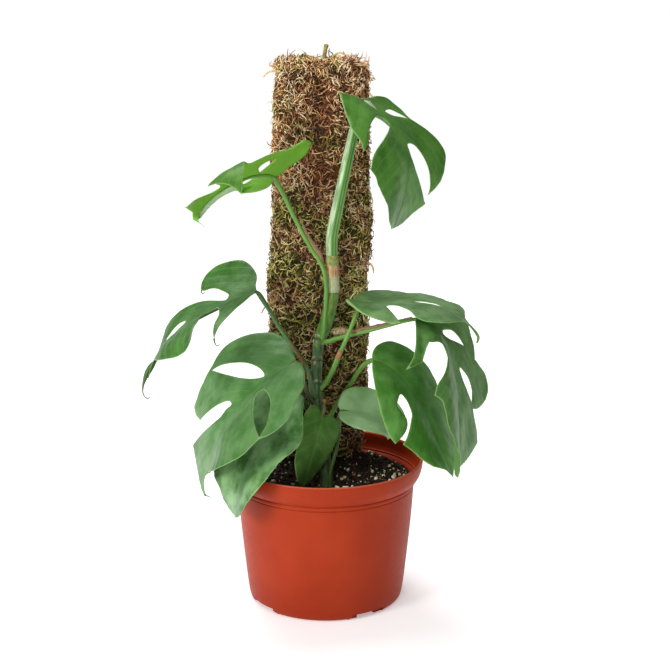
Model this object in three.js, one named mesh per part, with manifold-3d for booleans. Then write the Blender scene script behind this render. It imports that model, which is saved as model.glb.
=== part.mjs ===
// Mini monstera (Rhaphidophora tetrasperma) climbing a moss pole in a plastic nursery pot.
// Millimetres, +Z up. The origin is the centre of the pot's flat underside, -Y is the
// front and +X is to the right. Each leaf is one solid: its blade and its petiole.
import * as THREE from 'three';
import { mergeVertices } from 'three/addons/utils/BufferGeometryUtils.js';
import Module from 'manifold-3d';

const wasm = await Module();
wasm.setup();

// ---------------------------------------------------------------- driving dimensions
const GAP = 0.3; // clearance between neighbouring solids

const POT_HEIGHT = 119;
const POT_WALL = 2;
const RIM_RADIUS = 80;
const BODY_TOP_RADIUS = 72.7;
const FOOT_RADIUS = 58;
const FLOOR_THICKNESS = 2;
const DRAIN_COUNT = 4;
const DRAIN_FIRST_AZIMUTH = 34; // degrees from the front towards +X
const DRAIN_HEIGHT = 5;
const DRAIN_GATE = { halfWidth: 16, innerRadius: 57.3 }; // the wide opening through the wall
const DRAIN_POCKET = { halfWidth: 8.5, innerRadius: 47 }; // the narrow recess behind it
const DRAIN_SLIT = { width: 3, length: 8, offset: 4, radius: 52.5 };

const SOIL_LEVEL = 102;
const SOIL_RADIUS = 71;
const MOUND_HEIGHT = 11;

const POLE_CENTRE = new THREE.Vector3(-4, 43, 0);
const POLE_WIDTH = 80;
const POLE_DEPTH = 34;
const POLE_CORNER = 14;
const POLE_BOTTOM = 82;
const POLE_TOP = 439;
const MOSS_BULGE = 2.8; // how far the moss may swell past the pole's plain section
const STAKE_RADIUS = 7;
const STAKE_BOTTOM = 40;
const STAKE_TOP = 428;

const STEM_RADIUS = 5.7;
const BLADE_THICKNESS = 0.8;
const BLADE_EDGE_STEP = 5.5; // spacing of points along a leaf's margin
const BLADE_GRID_STEP = 10; // spacing of points inside a blade

// ---------------------------------------------------------------- materials
const finish = (color, roughness) => new THREE.MeshStandardMaterial({ color, roughness, metalness: 0 });
const POT_PLASTIC = finish(0xb8492a, 0.45);
const DARK_SOIL = finish(0x241a12, 0.95);
const DRY_MOSS = finish(0x5d5028, 0.95);
const WOOD = finish(0x8a6a45, 0.8);
const GREEN_STEM = finish(0x5f8a3c, 0.5);
const PAPERY_SHEATH = finish(0xb9a27c, 0.8);
const LEAF_GREEN = finish(0x3f7a34, 0.4);

// ---------------------------------------------------------------- solids and meshes
const vec = ([x, y, z]) => new THREE.Vector3(x, y, z);
const radians = THREE.MathUtils.degToRad;

function toSolid(geometry) {
  const bare = geometry.clone();
  bare.deleteAttribute('normal');
  bare.deleteAttribute('uv');
  const merged = mergeVertices(bare, 1e-4);
  return new wasm.Manifold(new wasm.Mesh({
    numProp: 3,
    vertProperties: new Float32Array(merged.attributes.position.array),
    triVerts: new Uint32Array(merged.index.array),
  }));
}

function toMesh(name, solid, material) {
  const { vertProperties, triVerts } = solid.getMesh();
  const geometry = new THREE.BufferGeometry();
  geometry.setAttribute('position', new THREE.BufferAttribute(vertProperties, 3));
  geometry.setIndex(new THREE.BufferAttribute(triVerts, 1));
  geometry.computeVertexNormals();
  const mesh = new THREE.Mesh(geometry, material);
  mesh.name = name;
  return mesh;
}

// A solid of revolution about Z, from a profile of [radius, z] that starts and ends on the axis.
function turned(profile, segments) {
  const points = profile.map(([radius, z]) => new THREE.Vector2(radius, z));
  return new THREE.LatheGeometry(points, segments).rotateX(Math.PI / 2);
}

// A round bar along a smooth curve through the points.
function bar(points, radius, sides, step) {
  const path = new THREE.CatmullRomCurve3(points);
  const section = new THREE.Shape();
  for (let i = 0; i < sides; i++) {
    const angle = (2 * Math.PI * i) / sides;
    section[i ? 'lineTo' : 'moveTo'](radius * Math.cos(angle), radius * Math.sin(angle));
  }
  section.closePath();
  const steps = Math.max(2, Math.round(path.getLength() / step));
  return toSolid(new THREE.ExtrudeGeometry(section, { steps, bevelEnabled: false, extrudePath: path }));
}

function block(width, depth, height, centre) {
  return new THREE.BoxGeometry(width, depth, height).translate(...centre.toArray());
}

// ---------------------------------------------------------------- pot
// A notch with slightly slanted ends, from the inner radius out through the foot. Its skin is
// how much larger it is all round than the opening it is named for.
function drainNotch({ halfWidth, innerRadius }, skin, azimuth) {
  const outerRadius = RIM_RADIUS - 5 * skin;
  const half = halfWidth + skin;
  const height = DRAIN_HEIGHT + skin;
  const section = new THREE.Shape([
    new THREE.Vector2(-half, -1),
    new THREE.Vector2(half, -1),
    new THREE.Vector2(half - 0.2 * height, height),
    new THREE.Vector2(0.2 * height - half, height),
  ]);
  const depth = outerRadius - innerRadius + skin;
  const notch = new THREE.ExtrudeGeometry(section, { depth, bevelEnabled: false });
  notch.translate(0, 0, innerRadius - skin).rotateX(Math.PI / 2).rotateZ(azimuth);
  return toSolid(notch);
}

// Each drain's wall stays inside the cavity, so that it never shows outside the pot.
function pot() {
  const segments = 48;
  const collarFoot = POT_HEIGHT - 17;
  const outside = [
    [FOOT_RADIUS, 0], [61.5, 1.2], [63.5, 4], [65.6, 20], [70.8, 71],
    [BODY_TOP_RADIUS - 0.3, collarFoot - 6], [BODY_TOP_RADIUS + 0.3, collarFoot - 5],
    [BODY_TOP_RADIUS + 0.3, collarFoot - 1.5], [75, collarFoot], [78, collarFoot + 5],
    [79.5, POT_HEIGHT - 6], [RIM_RADIUS, POT_HEIGHT - 1.5], [RIM_RADIUS - 0.8, POT_HEIGHT],
  ];
  const inside = [
    [RIM_RADIUS - 2.2, POT_HEIGHT], [RIM_RADIUS - 3, POT_HEIGHT - 2], [76.6, POT_HEIGHT - 10],
    [75.2, collarFoot + 3.5], [74.4, collarFoot + 3.2], [73.2, collarFoot + 1],
    [72.8 - POT_WALL + 0.6, collarFoot - 1], [BODY_TOP_RADIUS - POT_WALL, collarFoot - 7],
    [63.6, 20], [61, 4.5], [FOOT_RADIUS - 1, FLOOR_THICKNESS],
  ];
  let solid = toSolid(turned([[0, 0], ...outside, ...inside, [0, FLOOR_THICKNESS]], segments));
  const cavity = toSolid(turned([[0, 0.5], [60.5, 0.5], [63.2, 20], [66, 50], [0, 50]], segments));
  for (let i = 0; i < DRAIN_COUNT; i++) {
    const azimuth = radians(DRAIN_FIRST_AZIMUTH + (360 / DRAIN_COUNT) * i);
    const openings = [DRAIN_GATE, DRAIN_POCKET];
    for (const opening of openings) {
      solid = solid.add(drainNotch(opening, POT_WALL, azimuth).intersect(cavity));
    }
    for (const opening of openings) solid = solid.subtract(drainNotch(opening, 0, azimuth));
    for (const side of [-1, 1]) {
      const middle = new THREE.Vector3(side * DRAIN_SLIT.offset, -DRAIN_SLIT.radius, DRAIN_HEIGHT + 1);
      const slit = block(DRAIN_SLIT.width, DRAIN_SLIT.length, 6, middle).rotateZ(azimuth);
      solid = solid.subtract(toSolid(slit));
    }
  }
  return solid;
}

// ---------------------------------------------------------------- soil
// The soil is heaped round the foot of the moss pole and level with the shoulder at the wall.
function mound(x, y) {
  const across = (x - POLE_CENTRE.x) / 50;
  const along = (y - POLE_CENTRE.y) / 34;
  const wall = THREE.MathUtils.smoothstep(SOIL_RADIUS - Math.hypot(x, y), 0, 14);
  const lumps = 0.9 * Math.sin(0.23 * x + 1) * Math.cos(0.19 * y);
  return (MOUND_HEIGHT * Math.exp(-across * across - along * along) + lumps) * wall;
}

function soil(rooted) {
  const profile = [
    [0, 2.4], [43, 2.4], [44.6, 7.6], [61, 7.6], [63.1, 20], [69.8, 94], [SOIL_RADIUS - 1, SOIL_LEVEL - 1],
    [66, SOIL_LEVEL], [54, SOIL_LEVEL], [42, SOIL_LEVEL], [30, SOIL_LEVEL], [15, SOIL_LEVEL],
    [0, SOIL_LEVEL],
  ];
  const geometry = turned(profile, 36);
  const position = geometry.attributes.position;
  for (let i = 0; i < position.count; i++) {
    if (position.getZ(i) < SOIL_LEVEL - 0.5) continue;
    position.setZ(i, SOIL_LEVEL + mound(position.getX(i), position.getY(i)));
  }
  return rooted.reduce((solid, root) => solid.subtract(root), toSolid(geometry));
}

// ---------------------------------------------------------------- moss pole and stake
function poleSection(extra) {
  const halfWidth = POLE_WIDTH / 2 + extra;
  const halfDepth = POLE_DEPTH / 2 + extra;
  const round = POLE_CORNER + extra;
  const section = new THREE.Shape();
  section.moveTo(halfWidth - round, -halfDepth);
  section.absarc(halfWidth - round, round - halfDepth, round, -Math.PI / 2, 0);
  section.absarc(halfWidth - round, halfDepth - round, round, 0, Math.PI / 2);
  section.absarc(round - halfWidth, halfDepth - round, round, Math.PI / 2, Math.PI);
  section.absarc(round - halfWidth, round - halfDepth, round, Math.PI, 1.5 * Math.PI);
  return new THREE.Shape(section.getSpacedPoints(30).slice(0, -1));
}

// The moss bulges, narrows towards both ends and sags into a shallow cleft at the top.
function mossSurface(x, y, z) {
  const angle = Math.atan2(y, x);
  const bulge = 1.2 * Math.sin(3 * angle + 0.045 * z) + 0.9 * Math.sin(5 * angle - 0.08 * z + 1);
  const belly = 1.05 - 0.11 * ((z - 240) / 200) ** 2;
  const scale = belly + bulge / Math.hypot(x, y);
  const dip = z > POLE_TOP - 12 ? 3 * Math.exp(-(((x + 2) / 9) ** 2)) : 0;
  return new THREE.Vector3(x * scale, y * Math.min(scale, 1), z - dip);
}

function mossPole(stake) {
  const height = POLE_TOP - POLE_BOTTOM;
  const steps = 22;
  const geometry = new THREE.ExtrudeGeometry(poleSection(-2), {
    depth: height - 8, steps, bevelEnabled: true, bevelThickness: 4, bevelSize: 2, bevelSegments: 1,
  });
  geometry.translate(0, 0, POLE_BOTTOM + 4);
  const position = geometry.attributes.position;
  for (let i = 0; i < position.count; i++) {
    const moved = mossSurface(position.getX(i), position.getY(i), position.getZ(i));
    position.setXYZ(i, moved.x + POLE_CENTRE.x, moved.y + POLE_CENTRE.y, moved.z);
  }
  return toSolid(geometry).subtract(stake);
}

function poleStake(extra) {
  const length = STAKE_TOP - STAKE_BOTTOM + 2 * extra;
  const dowel = new THREE.CylinderGeometry(STAKE_RADIUS + extra, STAKE_RADIUS + extra, length, 16);
  dowel.rotateX(Math.PI / 2).translate(POLE_CENTRE.x, POLE_CENTRE.y, (STAKE_TOP + STAKE_BOTTOM) / 2);
  return toSolid(dowel);
}

// ---------------------------------------------------------------- stem, sheaths and aerial root
const STEM_PATH = [
  [2, -28, 70], [1, -26, 102], [-2, -20, 131], [-7, -12, 166], [-8, -4, 182], [-7, 2, 197],
  [-5, 8, 215], [0, 12, 227], [4, 15, 243], [6, 17, 253],
].map(vec);
const STEM_NODES = [0.6, 0.79]; // where the ringed leaf nodes sit, as a share of the path

function stem(extra) {
  const path = new THREE.CatmullRomCurve3(STEM_PATH);
  let solid = bar(STEM_PATH, STEM_RADIUS + extra, 12, 9);
  for (const share of STEM_NODES) {
    const middle = path.getPointAt(share);
    const half = path.getTangentAt(share).multiplyScalar(1.8 + extra);
    const ends = [middle.clone().sub(half), middle.clone().add(half)];
    solid = solid.add(bar(ends, STEM_RADIUS + 1.1 + extra, 12, 2));
  }
  return solid;
}

const UPPER_SHEATH_PATH = [[6, 17, 253.5], [6, 18, 267], [5.5, 17, 284]].map(vec);
const LEAF_2_SHEATH_PATH = [[-1, 13.5, 279], [-5, 14.5, 288], [-10, 14.5, 297.5], [-16, 14, 309]].map(vec);
const AERIAL_ROOT_PATH = [[4, 12.5, 221.5], [9, 13.5, 221.5], [14, 14.5, 221.5], [19.5, 16, 220.5]].map(vec);

// ---------------------------------------------------------------- leaves
// A blade is drawn flat: v is the distance across from the midrib, u the distance along it.
// The outline is a list of smooth runs of [v, u]; two runs meet in a corner, and each run
// starts where the one before it ends. rib holds the midrib's Bezier points; face is the way
// the blade looks at its base and its tip, as [azimuth, elevation] with azimuth 0 to the
// front; fold lifts and curl rolls each half, [v < 0, v > 0], curl in degrees per 50 mm.
const LEAVES = [
  {
    name: 'leaf_1',
    rib: [[32, 10, 407], [70, -12, 382], [70, -26, 356], [52, -30, 312]],
    face: [[40, 66], [72, 12]], fold: [-12, 16], curl: [-15, 34],
    outline: [
      [[0, -3], [5, -9], [11, -12], [20, -15]],
      [[38, 5], [51, 29], [54, 52], [56, 65]],
      [[49, 55], [37, 36], [23, 25], [9, 20], [2, 23], [4, 29], [11, 35], [26, 46], [41, 59], [49, 70],
        [53, 80]],
      [[48, 85], [46, 90]],
      [[39, 96], [30, 102], [22, 111], [5, 117]],
      [[-23, 111], [-34, 100], [-46, 88]],
      [[-40, 85], [-23, 73], [-13, 64], [-7, 51], [-8, 47], [-19, 46], [-33, 58], [-42, 74], [-43, 81]],
      [[-49, 75], [-55, 67], [-59, 56], [-61, 48], [-57, 41], [-50, 34], [-39, 25], [-36, 22], [-35, 14],
        [-34, 6], [-33, 0], [-27, -4], [-12, -4], [0, -3]],
    ],
    holes: [[[[-33, 22], [-26, 16], [-20, 12], [-10, 14], [-14, 18], [-24, 20], [-33, 22]]]],
    petiole: [
      [6, 17, 249], [6, 17, 262], [5.6, 17, 275], [5.2, 16, 287], [5.4, 14.5, 300], [9.5, 12.5, 322],
      [14.3, 11, 345], [18.9, 10, 367], [23, 10, 385], [28, 10, 399],
    ],
    petioleRadius: 4.3,
  },
  {
    name: 'leaf_2',
    rib: [[-41, 7, 348], [-58, -12, 362], [-115, -16, 323], [-94, -22, 314]],
    face: [[-134, 47], [-165, 61]],
    fold: [26, 15], tipFold: [19, 19], curl: [52, 0], tipCurl: [112, 0],
    outline: [
      [[0, -1], [-5, -4], [-13, -6], [-22, -9], [-30, -9], [-40, -3], [-47, 5]],
      [[-36, 4], [-27, 6], [-23, 12], [-19, 18], [-17, 23], [-24, 27], [-36, 30], [-48, 32], [-60, 38],
        [-68, 43]],
      [[-53, 46], [-42, 50], [-31, 56]],
      [[-22, 53], [-12, 49], [-5, 47], [-5, 53], [-9, 60], [-14, 65], [-25, 71], [-34, 75]],
      [[-20, 74], [-8, 74]],
      [[-4, 78], [-7, 84]],
      [[1, 77], [9, 74], [19, 71], [30, 68], [40, 63], [48, 54], [51, 43], [50, 30], [46, 18], [36, 5],
        [26, -4], [19, -7], [9, -7], [0, -1]],
    ],
    holes: [
      [[[-3, 14], [-7, 11], [-16, 7], [-14, 11], [-7, 16], [-3, 14]]],
      [[[5, 16], [14, 18], [23, 21], [16, 25], [9, 24], [5, 16]]],
    ],
    petiole: [
      [-3, 5, 216], [-1.5, 5, 224], [-0.2, 8, 235], [0.5, 10.3, 247], [0.6, 10.8, 258], [-0.2, 11.3, 267],
      [-2.8, 12.2, 276], [-10.8, 13.5, 288.5], [-18.7, 13, 303], [-26.6, 11.5, 319], [-34, 10, 335.5],
    ],
    petioleRadius: 1.9,
  },
  {
    name: 'leaf_3',
    rib: [[-54, -19, 262], [-97, -25, 244], [-142, -41, 230], [-138, -57, 184]],
    face: [[-81, 46], [-91, 29]],
    fold: [21, 12], tipFold: [0, -12], curl: [29, -31], tipCurl: [43, 11],
    outline: [
      [[0, 0], [9, -1], [22, -5], [35, -4], [44, 0], [54, 11], [60, 22], [59, 31], [52, 36]],
      [[46, 35], [40, 29], [29, 24], [15, 21], [10, 25], [15, 29], [28, 36], [41, 45], [54, 57], [60, 67],
        [51, 77], [36, 88], [20, 100], [12, 112], [0, 130]],
      [[-3, 112], [-6, 101], [-16, 101]],
      [[-27, 101], [-48, 95], [-55, 86], [-55, 80], [-51, 72], [-39, 62], [-29, 54], [-10, 49], [-3, 43],
        [-8, 37], [-24, 35], [-42, 38], [-53, 46], [-62, 52], [-70, 56]],
      [[-62, 47], [-58, 41], [-53, 31], [-47, 22], [-41, 13], [-32, 5], [-20, 1], [-8, 0], [0, 0]],
    ],
    holes: [[[[28, 77], [32, 69], [30, 62], [18, 59], [14, 66], [13, 75], [20, 79], [28, 77]]]],
    petiole: [
      [-6, -11, 164], [-7, -13, 170], [-10, -14, 178], [-14, -17, 196], [-18, -18, 205], [-25, -19, 215],
      [-36, -20, 232], [-47, -20, 251],
    ],
    petioleRadius: 1.9,
  },
  {
    name: 'leaf_4',
    rib: [[-24, -21, 205], [-65, -32, 187], [-92, -26, 143], [-94, -42, 100]],
    face: [[-42, 54], [-87, 14]], fold: [19, 10], curl: [29, 0],
    outline: [
      [[0, -1], [10, -3], [20, -4], [30, -2], [39, 2], [48, 11], [55, 19], [63, 31], [68, 42], [68, 55],
        [70, 70], [72, 85]],
      [[65, 88], [52, 89]],
      [[39, 78], [27, 68], [18, 62], [12, 62], [15, 68], [18, 76], [28, 86], [42, 96], [58, 106]],
      [[43, 116], [31, 125], [24, 130], [17, 133], [10, 135], [3, 135]],
      [[9, 133], [14, 130], [16, 126], [14, 121], [6, 118], [-6, 116], [-20, 114], [-34, 112], [-45, 108]],
      [[-58, 96], [-66, 80], [-65, 58]],
      [[-68, 49], [-68, 40], [-65, 30], [-58, 21], [-49, 13], [-41, 6], [-33, 2], [-22, -1], [-8, -3],
        [0, -1]],
    ],
    holes: [
      [[[64, 57], [57, 50], [43, 40], [30, 32], [17, 27], [8, 26], [5, 27], [9, 33], [22, 42], [44, 51],
        [64, 57]]],
      [[[-64, 57], [-58, 46], [-45, 36], [-34, 32], [-20, 32], [-13, 34], [-11, 38], [-20, 43],
        [-31, 47], [-45, 52], [-64, 57]]],
    ],
    petiole: [[-6, -10, 161], [-10, -14, 168], [-15, -17, 179], [-19, -19, 193]],
    petioleRadius: 1.9,
  },
  {
    name: 'leaf_5',
    rib: [[-20, -22, 179], [-46, -13, 149], [-72, -55, 128], [-72, -55, 87]],
    face: [[-50, 52], [-76, 25]], fold: [10, 10], curl: [30, 5],
    outline: [
      [[0, 0], [-12, -4], [-26, 1], [-36, 13], [-43, 27], [-48, 43], [-48, 55], [-45, 67], [-44, 77],
        [-42, 85], [-37, 93], [-30, 101], [-23, 109], [-5, 115]],
      [[9, 114], [22, 108], [30, 97], [42, 86], [47, 70], [48, 55], [47, 42], [42, 27], [35, 13],
        [26, 1], [12, -4], [0, 0]],
    ],
    holes: [],
    petiole: [[-5, -14, 154], [-10, -18, 161], [-15, -21, 169]],
    petioleRadius: 1.8,
  },
  {
    name: 'leaf_6',
    rib: [[-2, -31, 163], [-6, -42, 147], [-12, -46, 130], [-18, -48, 109]],
    face: [[30, 20], [50, 0]], fold: [-5, 14], curl: [24, 16],
    outline: [
      [[0, 0], [4, -3], [11, -5], [18, 5], [19, 17], [19, 27], [20, 37], [17, 45], [10, 54], [0, 60]],
      [[-9, 53], [-15, 44], [-19, 33], [-20, 22], [-20, 11], [-16, 1], [-11, -2], [-4, -2], [0, 0]],
    ],
    holes: [],
    petiole: [[-3, -14, 140], [-2, -24, 158], [-1, -30, 171], [-1, -33, 169]],
    petioleRadius: 1.6,
  },
  {
    name: 'leaf_7',
    rib: [[12, -10, 161], [35, -9, 160], [52, 9, 153], [64, 9, 132]],
    face: [[-20, 58], [-20, 45]], fold: [15, 18], curl: [29, 29],
    outline: [
      [[0, 0], [-5, -2], [-11, -1], [-19, 3], [-25, 13], [-27, 24], [-26, 32], [-20, 45], [-11, 56],
        [0, 65]],
      [[12, 55], [21, 43], [26, 27], [26, 16], [21, 6], [13, 0], [5, -2], [0, 0]],
    ],
    holes: [],
    petiole: [[4, -34, 88], [4, -33, 106], [4, -32, 115], [7, -27, 127], [10, -17, 138], [11, -11, 149]],
    petioleRadius: 1.7,
  },
  {
    name: 'leaf_8',
    rib: [[38, -21, 207], [74, -31, 198], [82, -21, 148], [102, -45, 116]],
    face: [[52, 38], [65, 8]], fold: [0, 15], curl: [18, 43],
    outline: [
      [[0, -1], [-7, -3], [-18, -3], [-27, 0], [-34, 5], [-39, 14], [-43, 24], [-46, 32], [-50, 43],
        [-49, 54], [-44, 68]],
      [[-43, 80], [-42, 93]],
      [[-37, 99], [-31, 103], [-15, 108], [3, 119]],
      [[13, 113], [29, 107], [36, 96], [40, 84], [45, 73]],
      [[41, 71], [33, 65], [26, 59], [20, 54], [18, 47], [17, 39], [19, 35], [24, 36], [30, 40],
        [30, 46], [29, 53], [31, 59], [37, 64], [51, 69]],
      [[52, 60], [51, 50], [47, 34], [36, 17], [20, 6], [0, -1]],
    ],
    holes: [],
    petiole: [
      [-3, -14, 143], [2, -3, 150], [6.5, 9, 156], [13, 17, 165], [20, 12.5, 177], [26.5, -3, 191.5],
      [32, -15, 201.5],
    ],
    petioleRadius: 1.9,
  },
  {
    name: 'leaf_9',
    rib: [[24, -9, 252], [56, -10, 246], [101, -30, 263], [120, -33, 227]],
    face: [[30, 74], [73, 51]], fold: [-4, 22], curl: [11, 53],
    outline: [
      [[0, -2], [5, -7], [15, -4], [25, 4], [33, 16], [40, 29], [44, 39], [44, 47]],
      [[35, 40], [23, 32], [14, 28], [13, 35], [19, 42], [28, 51], [37, 58]],
      [[41, 67], [38, 78], [32, 84], [12, 92], [8, 99], [4, 108]],
      [[0, 101], [-4, 91], [-16, 87], [-28, 84], [-39, 77]],
      [[-34, 69], [-38, 60], [-43, 50], [-43, 42], [-36, 35]],
      [[-39, 21], [-35, 13], [-25, 6], [-12, 0], [0, -2]],
    ],
    holes: [[[[-4, 70], [-8, 63], [-9, 56], [-8, 50], [-7, 45], [-5, 50], [-5, 56], [-5, 63], [-4, 70]]]],
    petiole: [
      [-7, -7, 175], [-4, -7, 179], [-1, -7, 182], [5, -11, 193], [11, -16, 209], [17, -20, 224],
        [22, -18, 236],
      [26, -13, 247],
    ],
    petioleRadius: 1.9,
  },
  {
    name: 'leaf_10',
    rib: [[71, -31, 242], [114, -20, 230], [97, -68, 165], [100, -81, 128]],
    face: [[70, 30], [80, -4]], fold: [6, 30], curl: [0, 55],
    outline: [
      [[0, 0], [7, -2], [25, -5], [35, -6], [47, -8], [58, -13]],
      [[55, -8], [51, -3], [48, 3], [47, 10], [47, 17], [46, 24], [43, 31], [37, 32], [31, 38], [30, 46],
        [35, 55], [45, 67], [56, 78], [62, 88]],
      [[54, 91], [52, 99], [50, 109], [43, 116], [38, 122], [25, 128], [8, 139]],
      [[-20, 130], [-46, 119], [-60, 108], [-69, 98]],
      [[-60, 89], [-48, 80], [-44, 76]],
      [[-54, 74], [-63, 70], [-73, 63], [-76, 56], [-71, 50], [-59, 45], [-51, 42]],
      [[-55, 37], [-57, 31], [-59, 26], [-55, 21], [-46, 18], [-36, 16], [-26, 13], [-16, 9], [-8, 4],
        [0, 0]],
    ],
    holes: [
      [[[-40, 72], [-39, 63], [-33, 56], [-24, 52], [-16, 50], [-19, 57], [-29, 65], [-40, 72]]],
      [[[-35, 35], [-31, 30], [-25, 26], [-17, 24], [-8, 23], [-6, 25], [-11, 29], [-22, 32], [-35, 35]]],
    ],
    petiole: [
      [-8, 4, 211], [-3, 6, 214], [3, 0, 216], [8, -4, 219], [17, -10, 223], [32, -19, 229], [51, -27, 236],
      [62, -31, 240],
    ],
    petioleRadius: 1.9,
  },
];

// The curved surface of a blade: point(u, v) is on it, and normal(u, v) points to its face.
class BladeSurface {
  constructor({ rib, face, fold, curl, tipFold = fold, tipCurl = curl }) {
    this.rib = new THREE.CubicBezierCurve3(...rib.map(vec));
    this.length = this.rib.getLength();
    this.face = face.map(([azimuth, elevation]) => new THREE.Vector3(
      Math.sin(radians(azimuth)) * Math.cos(radians(elevation)),
      -Math.cos(radians(azimuth)) * Math.cos(radians(elevation)),
      Math.sin(radians(elevation)),
    ));
    Object.assign(this, { fold, curl, tipFold, tipCurl });
  }

  point(u, v) {
    const along = THREE.MathUtils.clamp(u, 0, this.length);
    const share = along / this.length;
    const tangent = this.rib.getTangentAt(share);
    const face = this.face[0].clone().lerp(this.face[1], share);
    const up = face.addScaledVector(tangent, -face.dot(tangent)).normalize();
    const side = new THREE.Vector3().crossVectors(tangent, up);
    const half = v < 0 ? 0 : 1;
    const slope = radians(THREE.MathUtils.lerp(this.fold[half], this.tipFold[half], share));
    const bend = radians(THREE.MathUtils.lerp(this.curl[half], this.tipCurl[half], share)) / 50 || 1e-6;
    const turned = slope - bend * Math.abs(v);
    const lateral = (Math.sin(slope) - Math.sin(turned)) / bend;
    const height = (Math.cos(turned) - Math.cos(slope)) / bend;
    return this.rib.getPointAt(share)
      .addScaledVector(tangent, u - along)
      .addScaledVector(side, Math.sign(v) * lateral)
      .addScaledVector(up, height);
  }

  normal(u, v) {
    const reach = 0.5;
    const alongRib = this.point(u + reach, v).sub(this.point(u - reach, v));
    const acrossRib = this.point(u, v + reach).sub(this.point(u, v - reach));
    return acrossRib.cross(alongRib).normalize();
  }
}

// Points [v, u] along a closed line of smooth runs; the first point isn't repeated.
function sampleLine(runs) {
  const line = [];
  let corner = runs.at(-1).at(-1);
  runs.forEach((run, i) => {
    const points = i ? [corner, ...run] : run;
    const curve = new THREE.CatmullRomCurve3(points.map(([v, u]) => new THREE.Vector3(v, u, 0)));
    const steps = Math.max(1, Math.round(curve.getLength() / BLADE_EDGE_STEP));
    curve.getSpacedPoints(steps).slice(0, -1).forEach((p) => line.push(new THREE.Vector2(p.x, p.y)));
    corner = run.at(-1);
  });
  return line;
}

function isInside(point, line) {
  let inside = false;
  line.forEach((a, i) => {
    const b = line[(i + 1) % line.length];
    const crosses = a.y > point.y !== b.y > point.y;
    if (crosses && point.x < ((b.x - a.x) * (point.y - a.y)) / (b.y - a.y) + a.x) inside = !inside;
  });
  return inside;
}

function circled(points, corners) {
  const [a, b, c] = corners.map((i) => points[i]);
  const d = 2 * (a.x * (b.y - c.y) + b.x * (c.y - a.y) + c.x * (a.y - b.y));
  const x = (a.lengthSq() * (b.y - c.y) + b.lengthSq() * (c.y - a.y) + c.lengthSq() * (a.y - b.y)) / d;
  const y = (a.lengthSq() * (c.x - b.x) + b.lengthSq() * (a.x - c.x) + c.lengthSq() * (b.x - a.x)) / d;
  return { corners, centre: new THREE.Vector2(x, y), reach: Math.hypot(a.x - x, a.y - y) };
}

const edgesOf = ([a, b, c]) => [[a, b], [b, c], [c, a]];

// Delaunay triangles of flat points: each new point clears the circles that hold it.
function delaunay(points) {
  const far = 5000;
  const frame = [[-far, -far], [far, -far], [0, far]].map(([x, y]) => new THREE.Vector2(x, y));
  const all = [...points, ...frame];
  const count = points.length;
  let triangles = [circled(all, [count, count + 1, count + 2])];
  for (let i = 0; i < count; i++) {
    const open = new Map();
    const kept = [];
    for (const triangle of triangles) {
      if (triangle.centre.distanceTo(all[i]) > triangle.reach) {
        kept.push(triangle);
        continue;
      }
      for (const [a, b] of edgesOf(triangle.corners)) {
        if (!open.delete(`${b},${a}`)) open.set(`${a},${b}`, [a, b]);
      }
    }
    const fan = [...open.values()].map(([a, b]) => circled(all, [a, b, i]));
    triangles = [...kept, ...fan];
  }
  return triangles.map((triangle) => triangle.corners).filter((corners) => corners.every((i) => i < count));
}

// Splits every margin edge that the triangles do not follow, until they follow them all.
function splitMissed(lines, inner) {
  const points = [...lines.flat(), ...inner];
  const triangles = delaunay(points);
  const present = new Set(triangles.flatMap(edgesOf).flatMap(([a, b]) => [`${a},${b}`, `${b},${a}`]));
  let missed = 0;
  let start = 0;
  const split = lines.map((line) => {
    const first = start;
    start += line.length;
    return line.flatMap((point, i) => {
      const next = (i + 1) % line.length;
      if (present.has(`${first + i},${first + next}`)) return [point];
      missed += 1;
      return [point, point.clone().lerp(line[next], 0.5)];
    });
  });
  return missed ? splitMissed(split, inner) : { lines, points, triangles };
}

function innerPoints(lines, length) {
  const clearance = 0.5 * BLADE_GRID_STEP;
  const usable = (point) => isInside(point, lines[0])
    && !lines.slice(1).some((hole) => isInside(point, hole))
    && lines.flat().every((edge) => edge.distanceTo(point) > clearance);
  const points = [];
  for (let u = 0.5 * BLADE_GRID_STEP; u < length; u += BLADE_GRID_STEP) {
    points.push(new THREE.Vector2(0, u));
  }
  const rowStep = BLADE_GRID_STEP * Math.sin(Math.PI / 3);
  for (let row = -4; row * rowStep < length + 20; row++) {
    for (let column = -10; column <= 10; column++) {
      const drift = 0.13 * row; // keeps rows from lining up exactly, which Delaunay dislikes
      const v = (column + (row % 2 ? 0.5 : 0)) * BLADE_GRID_STEP + drift;
      if (Math.abs(v) > 0.6 * BLADE_GRID_STEP) points.push(new THREE.Vector2(v, row * rowStep));
    }
  }
  return points.filter(usable);
}

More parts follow.
